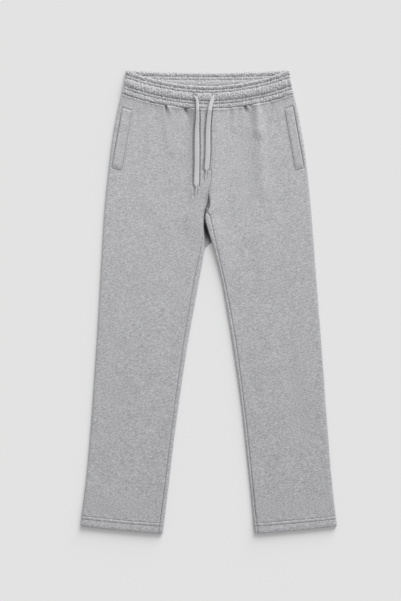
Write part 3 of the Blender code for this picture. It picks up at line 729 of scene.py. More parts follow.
def hem_relief(x, above_hem):
    """Grooves of the twin-needle rows, and the slant ripples between them and the edge."""
    total = sum(ridge_at(above_hem, ridge) for ridge in (*HEM_ROWS, HEM_RIDGE, HEM_PUFF))
    phase = (x + HEM_ROPE_SLANT * above_hem) / HEM_ROPE_LENGTH * 2 * math.pi
    phase = phase + 2.2 * soft_noise(x, above_hem, 31, 60, 41)
    on_hem = step((HEM_HEIGHT + 3 - above_hem) / 3) * step(above_hem / 4)
    total = total + HEM_ROPE * np.sin(phase) * on_hem
    return total + ridge_at(above_hem, HEM_WAVE) * np.sin(phase * 0.5 + 1)


def centre_rise(layer):
    side, y = layer.side, layer.y
    line = np.where(y < CROTCH_Y, inner_fold[side](y), SIGN[side] * front_seam(y))
    shape = RISE_SHAPES[side]
    height = np.maximum(centre_height[side](y), 0)
    return height * bell(np.maximum(layer.out - line - shape.level, 0), shape.fall)


def web_reach(side, y):
    """How far the lower half of an inner fold spreads across the gap between the legs."""
    if side == LEFT:
        return 0 * y
    gap = inner_fold[LEFT](y) + inner_fold[RIGHT](y) - WEB_GAP
    return np.maximum(gap, 0) * step((y - WEB_END) / WEB_TAPER) * (y < CROTCH_Y)


def cord_dent(x, y):
    """The fleece sinks beside the drawstring, and less beneath it."""

    def trench(aside, half):
        wide = CORD_DENT_EDGE * np.where(aside < 0, CORD_DENT_SIDE, 1.0)
        beside = np.abs(aside) - half
        deeper = np.where(aside < 0, CORD_DENT_DEEPER, 1.0)
        off_cord = CORD_DENT_BELOW + (1 - CORD_DENT_BELOW) * step((beside + 2.0) / 1.6)
        return CORD_DENT * deeper * step(1.5 - beside / wide) * off_cord

    dent = 0 * x
    for side, route in ROUTES.items():
        wide, _ = tape_size(side, route[0].y - y)
        last = route[-1]
        on_tape = step((y - last.y) / 6 + 0.5)
        dent -= trench(x - cord_x[side](y), wide / 2) * on_tape
        end = TIP_ENDS[side]
        share = np.clip((last.y - y) / (last.y - end.y), 0, 1)
        aside = x - last.x - (end.x - last.x) * share
        on_tip = step((y - end.y) / 3 + 0.5) * (1 - on_tape)
        dent -= 0.6 * trench(aside, TIP_DIAMETER / 2) * on_tip
    return dent


def edge_loft(layer):
    """Height of the laid layer above the stack, and how free it is of the folded edges."""
    from_outseam = (outseam[layer.side](layer.y) - layer.out) / DOME_REACH
    from_inner = (layer.out - inner_fold[layer.side](np.minimum(layer.y, CROTCH_Y))) / DOME_REACH
    from_inner = from_inner + np.maximum(layer.y - CROTCH_Y, 0) / CREASE_LENGTH
    clear_of_band = 1 - np.exp(-np.maximum(layer.below_band, 0) / BAND_SETTLE)
    clear_of_hem = step((layer.above_hem - HEM_HEIGHT) / DOME_REACH)
    dome = DOME * step(from_outseam) * step(from_inner)
    for t in (from_outseam, from_inner):
        dome = dome + EDGE_RISE * step(4 * t) * (1 - step(t))
    dome = dome * clear_of_band * (1 - HEM_FLATNESS * (1 - clear_of_hem))
    return dome, step(1.6 * from_outseam) * step(1.6 * from_inner)


def front_relief(layer):
    dome, free = edge_loft(layer)
    clear_of_hem = step((layer.above_hem - 0.6 * HEM_HEIGHT) / DOME_REACH)
    soft = mottle_relief(layer.x, layer.y) * (0.35 + 0.65 * clear_of_hem)
    soft = soft + fold_relief(FRONT_FOLDS, layer.x, layer.y)
    relief = dome + soft * free + centre_rise(layer) + cord_dent(layer.x, layer.y)
    off_hem = np.maximum(layer.above_hem - HEM_HEIGHT, 0)
    relief += (HEM_STACK - STACK) * (np.exp(-off_hem / HEM_EASE) - np.exp(-off_hem / HEM_SETTLE))
    relief += pucker_relief(FRONT_PUCKERS, layer.x, layer.below_band)
    return relief + welt_relief(layer.side, layer.x, layer.y) * step(layer.rise)


def underside_relief(layer):
    """Shallow dents of the back, which lies on its high places."""
    dents = fold_relief(SEAT_FOLDS, layer.x, layer.y)
    dents += pucker_relief(SEAT_PUCKERS, layer.x, layer.below_band)
    dents += 0.6 * (mottle_relief(layer.x + 400, layer.y) - 0.3)
    return np.minimum(dents, 0) * (0.15 + 0.85 * edge_loft(layer)[1])


def seam_shows(y):
    return 1 - SEAM_FAINT * step((y - SEAM_FAINT_Y) / SEAM_FAINT_OVER)


def seam_ripple(layer):
    seed = SEAM_SEEDS[layer.side]
    phase = layer.y / SEAM_RIPPLE_LENGTH * 2 * math.pi + 2.5 * line_noise(layer.y, 24, seed)
    height = SEAM_RIPPLE * (0.7 + 0.5 * line_noise(layer.y, 37, seed + 1))
    return height * np.sin(phase) * np.exp(-layer.to_edge / SEAM_RIPPLE_REACH) * seam_shows(layer.y)


def leg_relief(layer):
    """Height of a leg's laid cloth above the flattened tube."""
    if layer.upper:
        relief = front_relief(layer)
    else:
        lofted = edge_loft(layer)[0] + centre_rise(layer)
        relief = np.where(layer.rise > 0, lofted, underside_relief(layer))
    relief = relief + hem_relief(layer.x, layer.above_hem)
    if not layer.upper:
        relief = np.where(layer.rise < 0, np.minimum(relief, 0), relief)
    on_seams = seam_ripple(layer) + ridge_at(layer.below_band, WAIST_LIP)
    return relief + on_seams * (layer.rise > 0)


def waist_gape(x):
    """How wide the waist seam gapes here: 1 is its usual width."""
    share = 0.2 + 0 * x
    for gape in WAIST_GAPES:
        share = share + gape.share * bell(x - gape.x, gape.half_width)
    return np.clip(share + 0.35 * line_noise(x, 5, 33), 0.05, 2.2)


def waist_tuck(layer):
    gape = waist_gape(layer.x)
    roll = WAIST_ROLL * (ROLL_LEAST + ROLL_GROWTH * gape)
    return WAIST_TUCK * gape * step(1 - layer.below_band / roll)


def leg_sink(layer):
    """How far a leg's cloth turns in at its seams, at the waist and at the hem."""
    sink = SEAM_SINK * seam_shows(layer.y) * step(1 - layer.to_edge / SEAM_ROLL)
    crease = CREASES[layer.side]
    creased = ridge_at(layer.y, crease.sink) * (layer.rise > 0.2)
    sink = sink + creased * step(1 - layer.to_edge / crease.roll)
    return np.maximum(sink, waist_tuck(layer)) + rounded(layer.above_hem, HEM_WALL / 2)


# -------- painted shade in the deepest places

def cord_shade(x, y):
    shade = 0 * x
    for side, route in ROUTES.items():
        wide, _ = tape_size(side, route[0].y - y)
        aside = x - cord_x[side](y)
        reach = np.where(aside < 0, *CORD_SHADE_REACH[side])
        beside = step(1 - (np.abs(aside) - wide / 2) / reach)
        shade = np.maximum(shade, beside * between(y, route[-1].y, route[0].y, 8))
    return CORD_SHADE * shade * step((y - CORD_SHADE_END) / CORD_SHADE_FADE)


def welt_shade(side, x, y):
    along, aside, length = welt_place(side, x, y)
    beside = ridge_at(-aside - WELTS[side].width / 2, WELT_SHADE[side])
    return beside * between(along, 0, length, 4)


def crease_shade(layer):
    aside = np.maximum(layer.out - SIGN[layer.side] * front_seam(layer.y), 0)
    along = ridge_at(layer.y, CREASE_SHADE) * step((layer.y - CROTCH_Y + 6) / 6)
    return along * bell(aside, CREASE_SHADE_REACH[layer.side])


def fold_shade(side, out, y):
    aside = out - inner_fold[side](y)
    along = step((y - FOLD_SHADE_END) / FOLD_SHADE_FADE) * step((CROTCH_Y + 2 - y) / 4)
    return along * step(1.5 - aside / FOLD_SHADE_REACH[side])


def leg_shade(layer, out):
    """The darkest of the painted shades at each point; out is where the point lies once the fold spreads."""
    shade = fold_shade(layer.side, out, layer.y) * (layer.rise > -0.99)
    if not layer.upper:
        return shade
    puckers = pucker_relief(FRONT_PUCKERS, layer.x, layer.below_band)
    shades = [shade, crease_shade(layer), cord_shade(layer.x, layer.y),
              welt_shade(layer.side, layer.x, layer.y)]
    for depth, (start, over) in ((-puckers, PUCKER_SHADE), (waist_tuck(layer), TUCK_SHADE)):
        shades.append(step((depth - start) / over))
    return np.maximum.reduce(shades)


# -------- meshes

def new_piece(name, verts, faces, materials, face_materials=None, parent=None):
    mesh = bpy.data.meshes.new(name)
    mesh.from_pydata(verts, [], faces)
    for material in materials:
        mesh.materials.append(material)
    if face_materials is not None:
        mesh.polygons.foreach_set("material_index", face_materials)
    mesh.shade_smooth()
    mesh.update()
    piece = bpy.data.objects.new(name, mesh)
    bpy.context.scene.collection.objects.link(piece)
    piece.parent = parent
    return piece


def grid_faces(index, flip):
    """Quads of a grid of vertex numbers."""
    corners = (index[:-1, :-1], index[:-1, 1:], index[1:, 1:], index[1:, :-1])
    return np.stack(corners[::-1] if flip else corners, -1).reshape(-1, 4).tolist()


def cloth_shell(name, outer, inner, thin_rows, thin_columns, materials, flip, shade=None):
    """A closed wall of cloth: a fine outer face, and an inner face with fewer rows and columns.

    outer and inner are arrays of points, rows by columns. Only every so many rows and columns of
    the inner face are kept, always with the last ones, and the rims join the two. shade says how
    dark each outer point is.
    """
    rows, columns = outer.shape[:2]
    kept_rows = sorted({*range(0, rows, thin_rows), rows - 1})
    kept_columns = sorted({*range(0, columns, thin_columns), columns - 1})
    thin = inner[np.ix_(kept_rows, kept_columns)]
    verts = np.concatenate([outer.reshape(-1, 3), thin.reshape(-1, 3)]) * MM
    outer_index = np.arange(rows * columns).reshape(rows, columns)
    inner_index = rows * columns + np.arange(thin[..., 0].size).reshape(thin.shape[:2])
    faces = grid_faces(outer_index, flip)
    outer_faces = len(faces)
    faces += grid_faces(inner_index, not flip)
    rims = (
        (outer_index[0], inner_index[0], kept_columns, not flip),
        (outer_index[-1], inner_index[-1], kept_columns, flip),
        (outer_index[:, 0], inner_index[:, 0], kept_rows, flip),
        (outer_index[:, -1], inner_index[:, -1], kept_rows, not flip),
    )
    for outer_rim, inner_rim, kept, turn in rims:
        for k in range(len(kept) - 1):
            edge = outer_rim[kept[k]:kept[k + 1] + 1].tolist()
            face = edge + [int(inner_rim[k + 1]), int(inner_rim[k])]
            faces.append(face[::-1] if turn else face)
    marks = [0] * outer_faces + [1] * (len(faces) - outer_faces)
    piece = new_piece(name, verts.tolist(), faces, materials, marks)
    # painted shade: each outer point's darkening share goes into the shade attribute that the marl reads
    if shade is not None:
        values = np.zeros(len(verts))
        values[:rows * columns] = np.clip(shade, 0, 1).ravel()
        piece.data.attributes.new("shade", "FLOAT", "POINT").data.foreach_set("value", values)
    return piece


# -------- legs

LEG_LENGTH = 975.0
TOP_ZONE = 60.0          # rows run along the waist seam down to here
HEM_ZONE = 60.0          # and along the hem from here
LEG_ROWS = table(
    "down spacing",
    (0, 0.5), (6, 1.1), (50, 1.9), (330, 4.0), (920, 1.8), (944, 0.75), (971, 0.4),
    (LEG_LENGTH, 0.4),
)
FRONT_COLUMNS = (5, 200, 12)         # on the outer fold, across and on the inner fold
BACK_COLUMNS = (5, 62, 32)
CLOSE_TOP_ROWS = 30      # the back has one in two of these rows, one in three further down
CLOSE_HEM_ROWS = 40      # and all of these


def graded_rows(bands):
    """Distances down, spaced as the table says, from each entry to the next."""
    rows = []
    for here, after in zip(bands, bands[1:]):
        count = max(round((after.down - here.down) / here.spacing), 1)
        rows += list(np.linspace(here.down, after.down, count, endpoint=False))
    return np.array(rows + [bands[-1].down])


def laid_layer(side, upper):
    """A leg's layer, placed on the flattened tube between the hem and the waist seam."""
    columns = leg_columns(*(FRONT_COLUMNS if upper else BACK_COLUMNS))
    down = graded_rows(LEG_ROWS)
    if not upper:
        top, hem = CLOSE_TOP_ROWS, len(down) - CLOSE_HEM_ROWS
        down = np.concatenate([down[:top:2], down[top:hem:3], down[hem:]])
    down = down[:, None]
    hem = hem_y(columns.inwards)
    top = np.full(len(hem), BAND_TOP_Y - BAND_HEIGHT)
    for _ in range(5):
        layer = flattened_tube(side, upper, columns, top, top - hem, 0 * top)
        middle, half = waist_span(top)
        across = np.minimum(np.abs(layer.x - middle) / half, 1.0)
        top = band_y(across, BAND_HEIGHT, DIPS[upper]) - SEAM_GAP
    share = step((down - TOP_ZONE) / (LEG_LENGTH - TOP_ZONE - HEM_ZONE))
    y = (1 - share) * (top - down) + share * (hem + LEG_LENGTH - down)
    return flattened_tube(side, upper, columns, y, y - hem, top - y), columns


def leg_shell(side, upper, materials):
    layer, columns = laid_layer(side, upper)
    spread = step((layer.rise + 1) / 0.35) * (1 - step((layer.rise + 0.65) / 1.25))
    web = web_reach(side, layer.y) * spread * columns.inner
    out = layer.out - web
    lifted = leg_relief(layer) * np.abs(layer.rise) ** (2 + ridge_at(layer.y, FIRMNESS))
    wall = wall_thickness(layer.above_hem)
    near = leg_sink(layer) - np.where(layer.rise > 0, 0, lifted)
    far = wall - rounded(layer.above_hem, HEM_WALL / 2)
    z = layer.z + np.where(layer.rise > 0, lifted, 0)
    on_top = layer.rise > 0.9
    lowest = wall + UNDER_GAP
    outer_z = np.maximum(z - layer.rise * near, 0)
    inner_z = z - layer.rise * far
    if upper:
        outer_z = np.where(on_top, np.maximum(outer_z, lowest + THINNEST), outer_z)
    inner_z = np.where(on_top, np.maximum(inner_z, lowest), inner_z)
    inner_out = out + (1 - WEB_INSIDE) * web - layer.lean * far
    outer = np.stack([SIGN[side] * (out - layer.lean * near), layer.y, outer_z], -1)
    inner = np.stack([SIGN[side] * inner_out, layer.y, inner_z], -1)
    name = ("cloth_front_" if upper else "cloth_back_") + side
    flip = (side == RIGHT) == upper
    return cloth_shell(name, outer, inner, 4, 3, materials, flip, leg_shade(layer, out))


# -------- waistband

BAND_MESH_ROWS = table("down spacing", (0, 0.4), (2, 0.6), (46, 0.5), (BAND_HEIGHT, 0.5))
BAND_COLUMNS = 520
BAND_END_COLUMNS = 5
BAND_SEEDS = {True: 71, False: 81}   # of the front half and of the back half


def gathers(x, down, seed):
    """Crimps of the gathered cloth: uneven, slightly slanted, softer on their tops."""
    above_first = np.minimum(down - BAND_ROWS[0].down, 0)
    place = x + line_noise(x, 40, seed) * 0.12 * down + TOP_GATHER_SLANT * above_first
    place = place + 2.4 * soft_noise(x, down, 15, 12, seed + 1)
    phase = place / GATHER_SPACING * math.pi + 2.2 * line_noise(x, 11, seed + 2)
    ridge = 1 - 1.6 * (1 - np.abs(np.sin(phase))) ** 2
    strength = 0.66 + 0.5 * soft_noise(x, down, 9, 9, seed + 4) + 0.12 * step(x / 60)
    fine = GATHER_FINE * soft_noise(x + 0.1 * down, down, 2.3, 4.8, seed + 3)
    specks = GATHER_SPECKS * soft_noise(x, down, 2.0, 2.5, seed + 5)
    return GATHER_DEPTH * strength * (ridge - 0.6) + fine + specks


def pinches(x, down, seed):
    """Short deep crimps that end at the stitched rows."""
    total = 0 * (x + down)
    for row in BAND_ROWS:
        seed += 1
        place = x + PINCH_SLANT * (down - row.down)
        phase = place / PINCH_SPACING * 2 * math.pi + 2.8 * line_noise(x, 13, seed)
        dots = (0.5 - 0.5 * np.cos(phase)) ** 1.5 * (0.65 + 0.5 * line_noise(x, 7, seed + 20))
        total = total - row.pinch * dots * bell(down - row.down + 1.5, 1.8)
    return total


def channels():
    """Start, end and padding of each stretch between the stitched rows."""
    limits = [0.0, *(row.down for row in BAND_ROWS), BAND_HEIGHT]
    return zip(limits, limits[1:], [*(row.padding for row in BAND_ROWS), LAST_PADDING])


def band_profile(x, down, seed):
    """Padding between the stitched rows, and their uneven grooves."""
    lift = 0 * down
    for start, end, padding in channels():
        t = np.clip((2 * down - start - end) / (end - start), -1, 1)
        lift = lift + padding * (1 - np.abs(t) ** PADDING_POWER)
    for row in BAND_ROWS:
        seed += 1
        uneven = line_noise(x, 3.4, seed) + 0.8 * line_noise(x, 1.9, seed + 9)
        groove = row.groove * (1 + ROW_UNEVEN * uneven)
        lift = lift - groove * bell(down - row.down, row.half)
    return lift


def gather_strength(down, upper):
    """The gathers are strongest just above each stitched row, and at the back half's top edge."""
    show = 0 * down
    for start, end, _ in channels():
        inside = (down >= start) & (down <= end)
        show = np.where(inside, 0.5 + 0.6 * (down - start) / (end - start), show)
    for row in BAND_ROWS:
        show = show - 0.25 * bell(down - row.down, 1.4)
    if not upper:
        show = np.where(down < BAND_ROWS[0].down, 1.3, show)
    return show - 0.3 * step((down - 48) / 3)


def crevice(across, y):
    """A dent in the back half along the front half's top edge."""
    above_edge = y - (BAND_TOP_Y - waist_dip(across, DIPS[True]))
    return ridge_at(above_edge, CREVICE) * step((CREVICE_REACH - np.abs(across)) / 0.3)


def eyelet_dent(x, y):
    dent = 0 * x
    for route in ROUTES.values():
        distance = np.hypot(x - route[0].x, y - route[0].y) / EYELET_REACH
        dent -= EYELET_DEPTH * np.exp(-distance * distance * 2)
    return dent


def band_face(upper, detailed):
    """A face of half the band, as points, rows by columns: the one that shows, or the hidden one."""
    seed = BAND_SEEDS[upper]
    down = graded_rows(BAND_MESH_ROWS)[:, None]
    ends = np.linspace(1, 0, BAND_END_COLUMNS, endpoint=False)
    across = np.concatenate([-np.ones(len(ends)), np.linspace(-1, 1, BAND_COLUMNS), np.ones(len(ends))])
    past_end = np.concatenate([ends, np.zeros(BAND_COLUMNS), ends[::-1]])
    run = np.maximum(math.pi * BAND_FOLD / 2 * (1 - past_end), SLIVER)
    spot = round_fold(run if upper else -run, BAND_FOLD)
    y = band_y(across, down, DIPS[upper])
    middle, half = waist_span(y)
    x = middle + across * (half + BAND_FOLD - spot.inset)
    if detailed:
        relief = band_profile(x, down, seed + 60) + gathers(x, down, seed) * gather_strength(down, upper)
        relief = relief + pinches(x, down, seed + 40)
        calm = 1 - CALM_SEAM * step((CALM_SEAM_X - x) / CALM_SEAM_OVER)
        seam = step(1 - (BAND_HEIGHT - down) / BAND_SEAM_ROLL)
        relief = relief - BAND_SEAM_SINK * waist_gape(x) * calm * seam
        if upper:
            relief = relief + eyelet_dent(x, y)
        else:
            relief = relief * INSIDE_RELIEF + crevice(across, y)
    else:
        relief = HIDDEN_RELIEF * np.minimum(gathers(x, down, seed), 0)
    relief = relief - rounded(down, TOP_EDGE_ROLL if detailed else BAND_WALL / 2)
    wave = TOP_EDGE_WAVE * (line_noise(x, 4.5, seed + 8) - 1) * np.exp(-down / 4)
    y = y + wave * (1 - np.abs(across) ** 8)
    relief = np.maximum(relief, THINNEST - BAND_WALL) * spot.rise ** 2
    depth = -relief if detailed == upper else BAND_WALL + relief
    lean = np.copysign(spot.lean, across)
    return np.stack([x - lean * depth, y, spot.z - spot.rise * depth], -1)


def band_shell(upper, material):
    name = "cloth_waistband_" + ("front" if upper else "back")
    thin = 3 if upper else 2
    faces = (band_face(upper, detailed) for detailed in (True, False))
    return cloth_shell(name, *faces, thin, thin, [material, material], flip=False)


# -------- surfaces that things lie on

def surface_of(pieces, from_below=False):
    """A function that gives the height, in millimetres, of the outermost of these at x, y."""
    trees = [BVHTree.FromPolygons([v.co for v in piece.data.vertices],
                                  [p.vertices for p in piece.data.polygons]) for piece in pieces]
    start = -0.1 if from_below else 0.1
    way = Vector((0, 0, 1 if from_below else -1))

    def height(x, y):
        hits = [tree.ray_cast(Vector((x * MM, y * MM, start)), way) for tree in trees]
        heights = [hit[0].z / MM for hit in hits if hit[0]]
        if not heights:
            return None
        return min(heights) if from_below else max(heights)

    return height


# -------- pocket welts

WELT_EDGE_ROUND = 0.9
WELT_TOP_ROUND = 1.7
WELT_END_FADE = 12.0
WELT_GAPE_END = 45.0     # the opening is shut this far from its ends
WELT_GAPE_REACH = 12.0
WELT_ROWS = 120
WELT_COLUMNS = 24
WELT_GAPE = 0.55         # it stands off the front along its opening
WELT_GAPE_INSIDE = 0.35
WELT_STITCH_DENT = 0.4
WELT_PUFF = 0.25         # inside its stitching
WELT_END_SINK = 0.6      # towards its lower end


def pocket_welt(side, height, material):
    width = WELTS[side].width
    length = welt_axes(side)[3]
    t = np.linspace(0, 1, WELT_ROWS)[:, None]
    aside = np.linspace(-width / 2, width / 2, WELT_COLUMNS)[None, :]
    x, y = welt_spot(side, t * length, aside)
    under = np.array([[height(a, b) or STACK for a, b in zip(*line)] for line in zip(x, y)])
    smooth = under.copy()
    for _ in range(6):
        smooth[:, 1:-1] = (smooth[:, :-2] + 2 * smooth[:, 1:-1] + smooth[:, 2:]) / 4
    smooth = np.maximum(smooth, under) + SEAM_GAP / 2
    to_inner = width / 2 + aside
    to_outer = width / 2 - aside
    from_top, to_bottom = t * length, (1 - t) * length
    to_end = np.minimum(from_top, to_bottom)
    edge = np.minimum(np.minimum(to_inner, to_outer), to_bottom)
    edge_sink = 0.9 * rounded(edge, WELT_EDGE_ROUND)
    lift = WELT_THICK - np.maximum(edge_sink, rounded(from_top, WELT_TOP_ROUND))
    lift = lift * (1 - WELT_END_SINK * step(1 - to_bottom / WELT_END_FADE))
    past_stitch = np.minimum(to_inner, to_end) - WELT_STITCH_INSET
    lift = lift - WELT_STITCH_DENT * bell(past_stitch, 0.9) + WELT_PUFF * step(past_stitch / 4)
    gape = step(to_end / WELT_GAPE_END) * step(1 - to_outer / WELT_GAPE_REACH)
    lift = lift + WELT_GAPE * gape + 0.12 * soft_noise(x, y, 7, 9, 91)
    faces = (np.stack([x, y, smooth + up], -1) for up in (lift, WELT_GAPE_INSIDE * gape))
    name = "cloth_pocket_welt_" + side
    return cloth_shell(name, *faces, 3, 3, [material, material], side == RIGHT)


# -------- drawstring

TAPE_SIDES = 44
TAPE_WALES = 6
TAPE_COURSE = 1.5
TAPE_STEP = 0.75
TAPE_CLEARANCE = 0.1
TAPE_END_FADE = 7.0      # it narrows to its tip over this length
EXIT_SINK = 2.0          # it starts this far down in its buttonhole
EXIT_SINK_LENGTH = 2.2
WALE_RISE = 0.07
COURSE_RISE = 0.05
TAPE_CREASE = 0.16
TIP_SIDES = 20
TIP_STEP = 0.22
TIP_OVERLAP = 1.5        # how far it reaches over the end of the tape
TIP_WRAP = 0.95          # pitch of the thread that binds it
TIP_START = 0.05         # the shares of its length over which it starts and ends
TIP_END = 0.07
TIP_POINT = 0.62         # how much thinner it ends


def smooth_line(values, times):
    values = np.array(values, float)
    for _ in range(times):
        values[1:-1] = (values[:-2] + 2 * values[1:-1] + values[2:]) / 4
    return values


def laid_line(points, height, wide, thick):
    """Heights of a strip's middle line that lies on what is under it, smoothed as limp tape lies."""
    rest = []
    for (x, y), w in zip(points, wide):
        under = [height(x + a * w / 2, y + b) for a in (-0.9, -0.5, 0, 0.5, 0.9) for b in (-1.5, 0, 1.5)]
        rest.append(max(h for h in under if h is not None))
    run = np.array([math.dist(point, points[0]) for point in points])
    rest = (np.array(rest) - CORD_SLOPE * np.abs(run[:, None] - run)).max(axis=1)
    eased = np.maximum(smooth_line(rest, 14), smooth_line(np.maximum(rest, smooth_line(rest, 14)), 4))
    return eased + TAPE_CLEARANCE + thick / 2


def unit(vectors):
    return vectors / np.linalg.norm(vectors, axis=-1, keepdims=True)


def tubes_piece(name, rings, material, parent=None):
    """Closed tubes through rings of points, given as tubes by rings by sides."""
    index = np.arange(rings[..., 0].size).reshape(rings.shape[:3])
    after = np.roll(index, -1, axis=2)
    quads = np.stack([index[:, :-1], index[:, 1:], after[:, 1:], after[:, :-1]], -1).reshape(-1, 4)
    faces = quads.tolist() + index[:, 0].tolist() + index[:, -1, ::-1].tolist()
    return new_piece(name, (rings.reshape(-1, 3) * MM).tolist(), faces, [material], parent=parent)


def strip_piece(name, points, sways, rises, material):
    """A closed strip along points, with its section's across and up offsets at each of them."""
    ahead = unit(np.gradient(points, axis=0))
    across = unit(np.cross(ahead, (0, 0, 1)))
    up = np.cross(across, ahead)
    rings = points[:, None] + across[:, None] * sways[..., None] + up[:, None] * rises[..., None]
    return tubes_piece(name, rings[None], material)


def drawcord(side, height, material):
    first, last = ROUTES[side][0], ROUTES[side][-1]
    y = np.linspace(first.y, last.y, round((first.y - last.y) / TAPE_STEP) + 1)
    x = cord_x[side](y)
    gone = first.y - y
    wide, thick = tape_size(side, gone)
    wide = TIP_DIAMETER + (wide - TIP_DIAMETER) * step((y - last.y) / TAPE_END_FADE)
    z = laid_line(list(zip(x, y)), height, wide, thick)
    z = z - EXIT_SINK * np.exp(-gone / EXIT_SINK_LENGTH)
    gone, wide, thick = gone[:, None], wide[:, None], thick[:, None]
    angle = np.linspace(0, 2 * math.pi, TAPE_SIDES, endpoint=False) + 0.5 * math.pi / TAPE_SIDES
    shape_x = np.sign(np.cos(angle)) * np.abs(np.cos(angle)) ** 0.55
    shape_z = np.sign(np.sin(angle)) * np.abs(np.sin(angle)) ** 0.8
    wales = np.cos(shape_x * math.pi * TAPE_WALES)
    courses = np.cos(gone / TAPE_COURSE * 2 * math.pi + shape_x * 3)
    knit = (WALE_RISE * wales + COURSE_RISE * courses) * np.abs(shape_z)
    creases = TAPE_CREASE * soft_noise(x[:, None] + 9 * shape_x, gone, 2.4, 22, 95)
    creases = creases * (1 - step(gone / BUNCH_LENGTH) * 0.7)
    sways = shape_x * wide / 2 * (1 + 0.02 * line_noise(gone, 11, 96))
    rises = shape_z * (thick / 2 + knit + creases)
    points = np.stack([x, y, z], -1)
    return strip_piece("tape_" + side, points, sways, rises, material), points


def cord_tip(side, height, material):
    start = np.array(ROUTES[side][-1])
    end = np.array(TIP_ENDS[side])
    start = start - unit(end - start) * TIP_OVERLAP
    length = np.linalg.norm(end - start)
    t = np.linspace(0, 1, round(length / TIP_STEP))
    spots = start + (end - start) * t[:, None]
    starting = 0.5 + 0.5 * np.sqrt(np.clip(t / TIP_START, 0, 1))
    pointed = 1 - TIP_POINT * np.clip(1 - (1 - t) / TIP_END, 0, 1) ** 2
    size = TIP_DIAMETER * starting * pointed * (1 - 0.1 * t)
    z = laid_line(spots.tolist(), height, size, size)
    angle = np.linspace(0, 2 * math.pi, TIP_SIDES, endpoint=False)
    wrap = np.cos(length * t[:, None] / TIP_WRAP * 2 * math.pi + angle)
    radius = size[:, None] / 2 * (1 + 0.07 * wrap)
    points = np.concatenate([spots, z[:, None]], 1)
    sways, rises = radius * np.cos(angle), radius * np.sin(angle)
    return strip_piece("tape_tip_" + side, points, sways, rises, material)




# -------- stitches

STITCH_SIDES = 5
LINE_POINTS = {"band": 420, "hem": 160, "welt": 60}
BAND_LINE_REACH = 0.985  # share of the half band
HEM_START = 0.01         # share of the way inwards
WELT_STITCH_END = 1.2    # short of its outer edge
UNDER_LIFT = 0.25        # the underside's stitches lie so far inside the cloth
HEM_ENDS = {True: 0.94, False: 0.99}   # where the rows end inwards, on the front and on the back
EYELET_STITCHES = 46
EYELET_BORDER = ((2.3, 5.2), (4.025, 6.7))   # half sizes of its inner and outer edge
EYELET_SHIFT = 1.5       # of its middle from the cord's first point, towards the waist
EYELET_LIFT = 0.12
EYELET_THREAD = 0.3
# Rings of a stitch: shares of its length and of the thread's radius
STITCH_RINGS = table(
    "along size height",
    (-0.5, 0.7, -1.6), (-0.34, 1.0, 0.1), (0.0, 1.0, 0.8), (0.34, 1.0, 0.1), (0.5, 0.7, -1.6),
)


def stitch_row(line, seed):
    """Stitches along a dense line of points: the two ends of each of them."""
    line = np.array(line, float)
    run = np.concatenate([[0], np.cumsum(np.linalg.norm(np.diff(line, axis=0), axis=1))])
    random = np.random.default_rng(seed)
    stitches = []
    for start in np.arange(STITCH_PITCH * 0.3, run[-1] - STITCH_LENGTH, STITCH_PITCH):
        first = start + random.uniform(-STITCH_WOBBLE, STITCH_WOBBLE)
        ends = (first, first + STITCH_LENGTH)
        stitches.append([[np.interp(at, run, line[:, k]) for k in range(3)] for at in ends])
    return stitches


def stitches_piece(name, stitches, material, parent, below=False, radius=THREAD_RADIUS):
    """A short thread for each stitch, bent down into the cloth at its two ends."""
    starts, ends = np.array(stitches, float).transpose(1, 0, 2)
    ahead = unit(ends - starts)
    across = unit(np.cross(ahead, (0, 0, -1 if below else 1)))
    rise = np.cross(across, ahead)
    angle = 2 * math.pi * np.arange(STITCH_SIDES)[:, None] / STITCH_SIDES
    around = across[:, None] * np.cos(angle) + rise[:, None] * np.sin(angle)
    rings = []
    for ring in STITCH_RINGS:
        centre = starts + (ends - starts) * (ring.along + 0.5) + rise * ring.height * radius
        rings.append(centre[:, None] + around * radius * ring.size)
    piece = tubes_piece(name, np.stack(rings, 1), material, parent)
    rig.slot(piece, "fleece")


def sew(name, cloth, thread, seed, lines, below=False, lift=0.0):
    """Rows of stitches along lines of x, y points, laid on a piece where they meet it."""
    height = surface_of([cloth], below)
    stitches = []
    for i, line in enumerate(lines):
        laid = [(x, y, height(x, y)) for x, y in line]
        laid = [(x, y, z + lift) for x, y, z in laid if z is not None]
        stitches += stitch_row(laid, seed + i)
    stitches_piece("stitches_" + name, stitches, thread, cloth, below)


def band_lines(dip):
    across = np.linspace(-BAND_LINE_REACH, BAND_LINE_REACH, LINE_POINTS["band"])
    for row in BAND_ROWS:
        y = band_y(across, row.down, dip)
        middle, half = waist_span(y)
        yield zip(middle + across * half, y)


def hem_lines(side, upper):
    inwards = np.linspace(HEM_START, HEM_ENDS[upper], LINE_POINTS["hem"])
    radius = (HEM_STACK - SEAM_GAP) / 2
    for row in HEM_ROWS:
        y = hem_y(inwards) + row.at
        outer = outseam[side](y) - radius
        inner = inner_fold[side](y) + radius
        yield zip(SIGN[side] * (outer + (inner - outer) * inwards), y)


def welt_lines(side):
    """The stitching across the top of a welt, down its inner edge and across the bottom."""
    inset = WELT_STITCH_INSET
    half = WELTS[side].width / 2
    inner, outer = inset - half, half - WELT_STITCH_END
    bottom = welt_axes(side)[3] - inset
    corners = np.array(((inset, outer), (inset, inner), (bottom, inner), (bottom, outer)))
    t = np.linspace(0, 1, LINE_POINTS["welt"])[:, None]
    for here, after in zip(corners, corners[1:]):
        yield zip(*welt_spot(side, *(here + (after - here) * t).T))


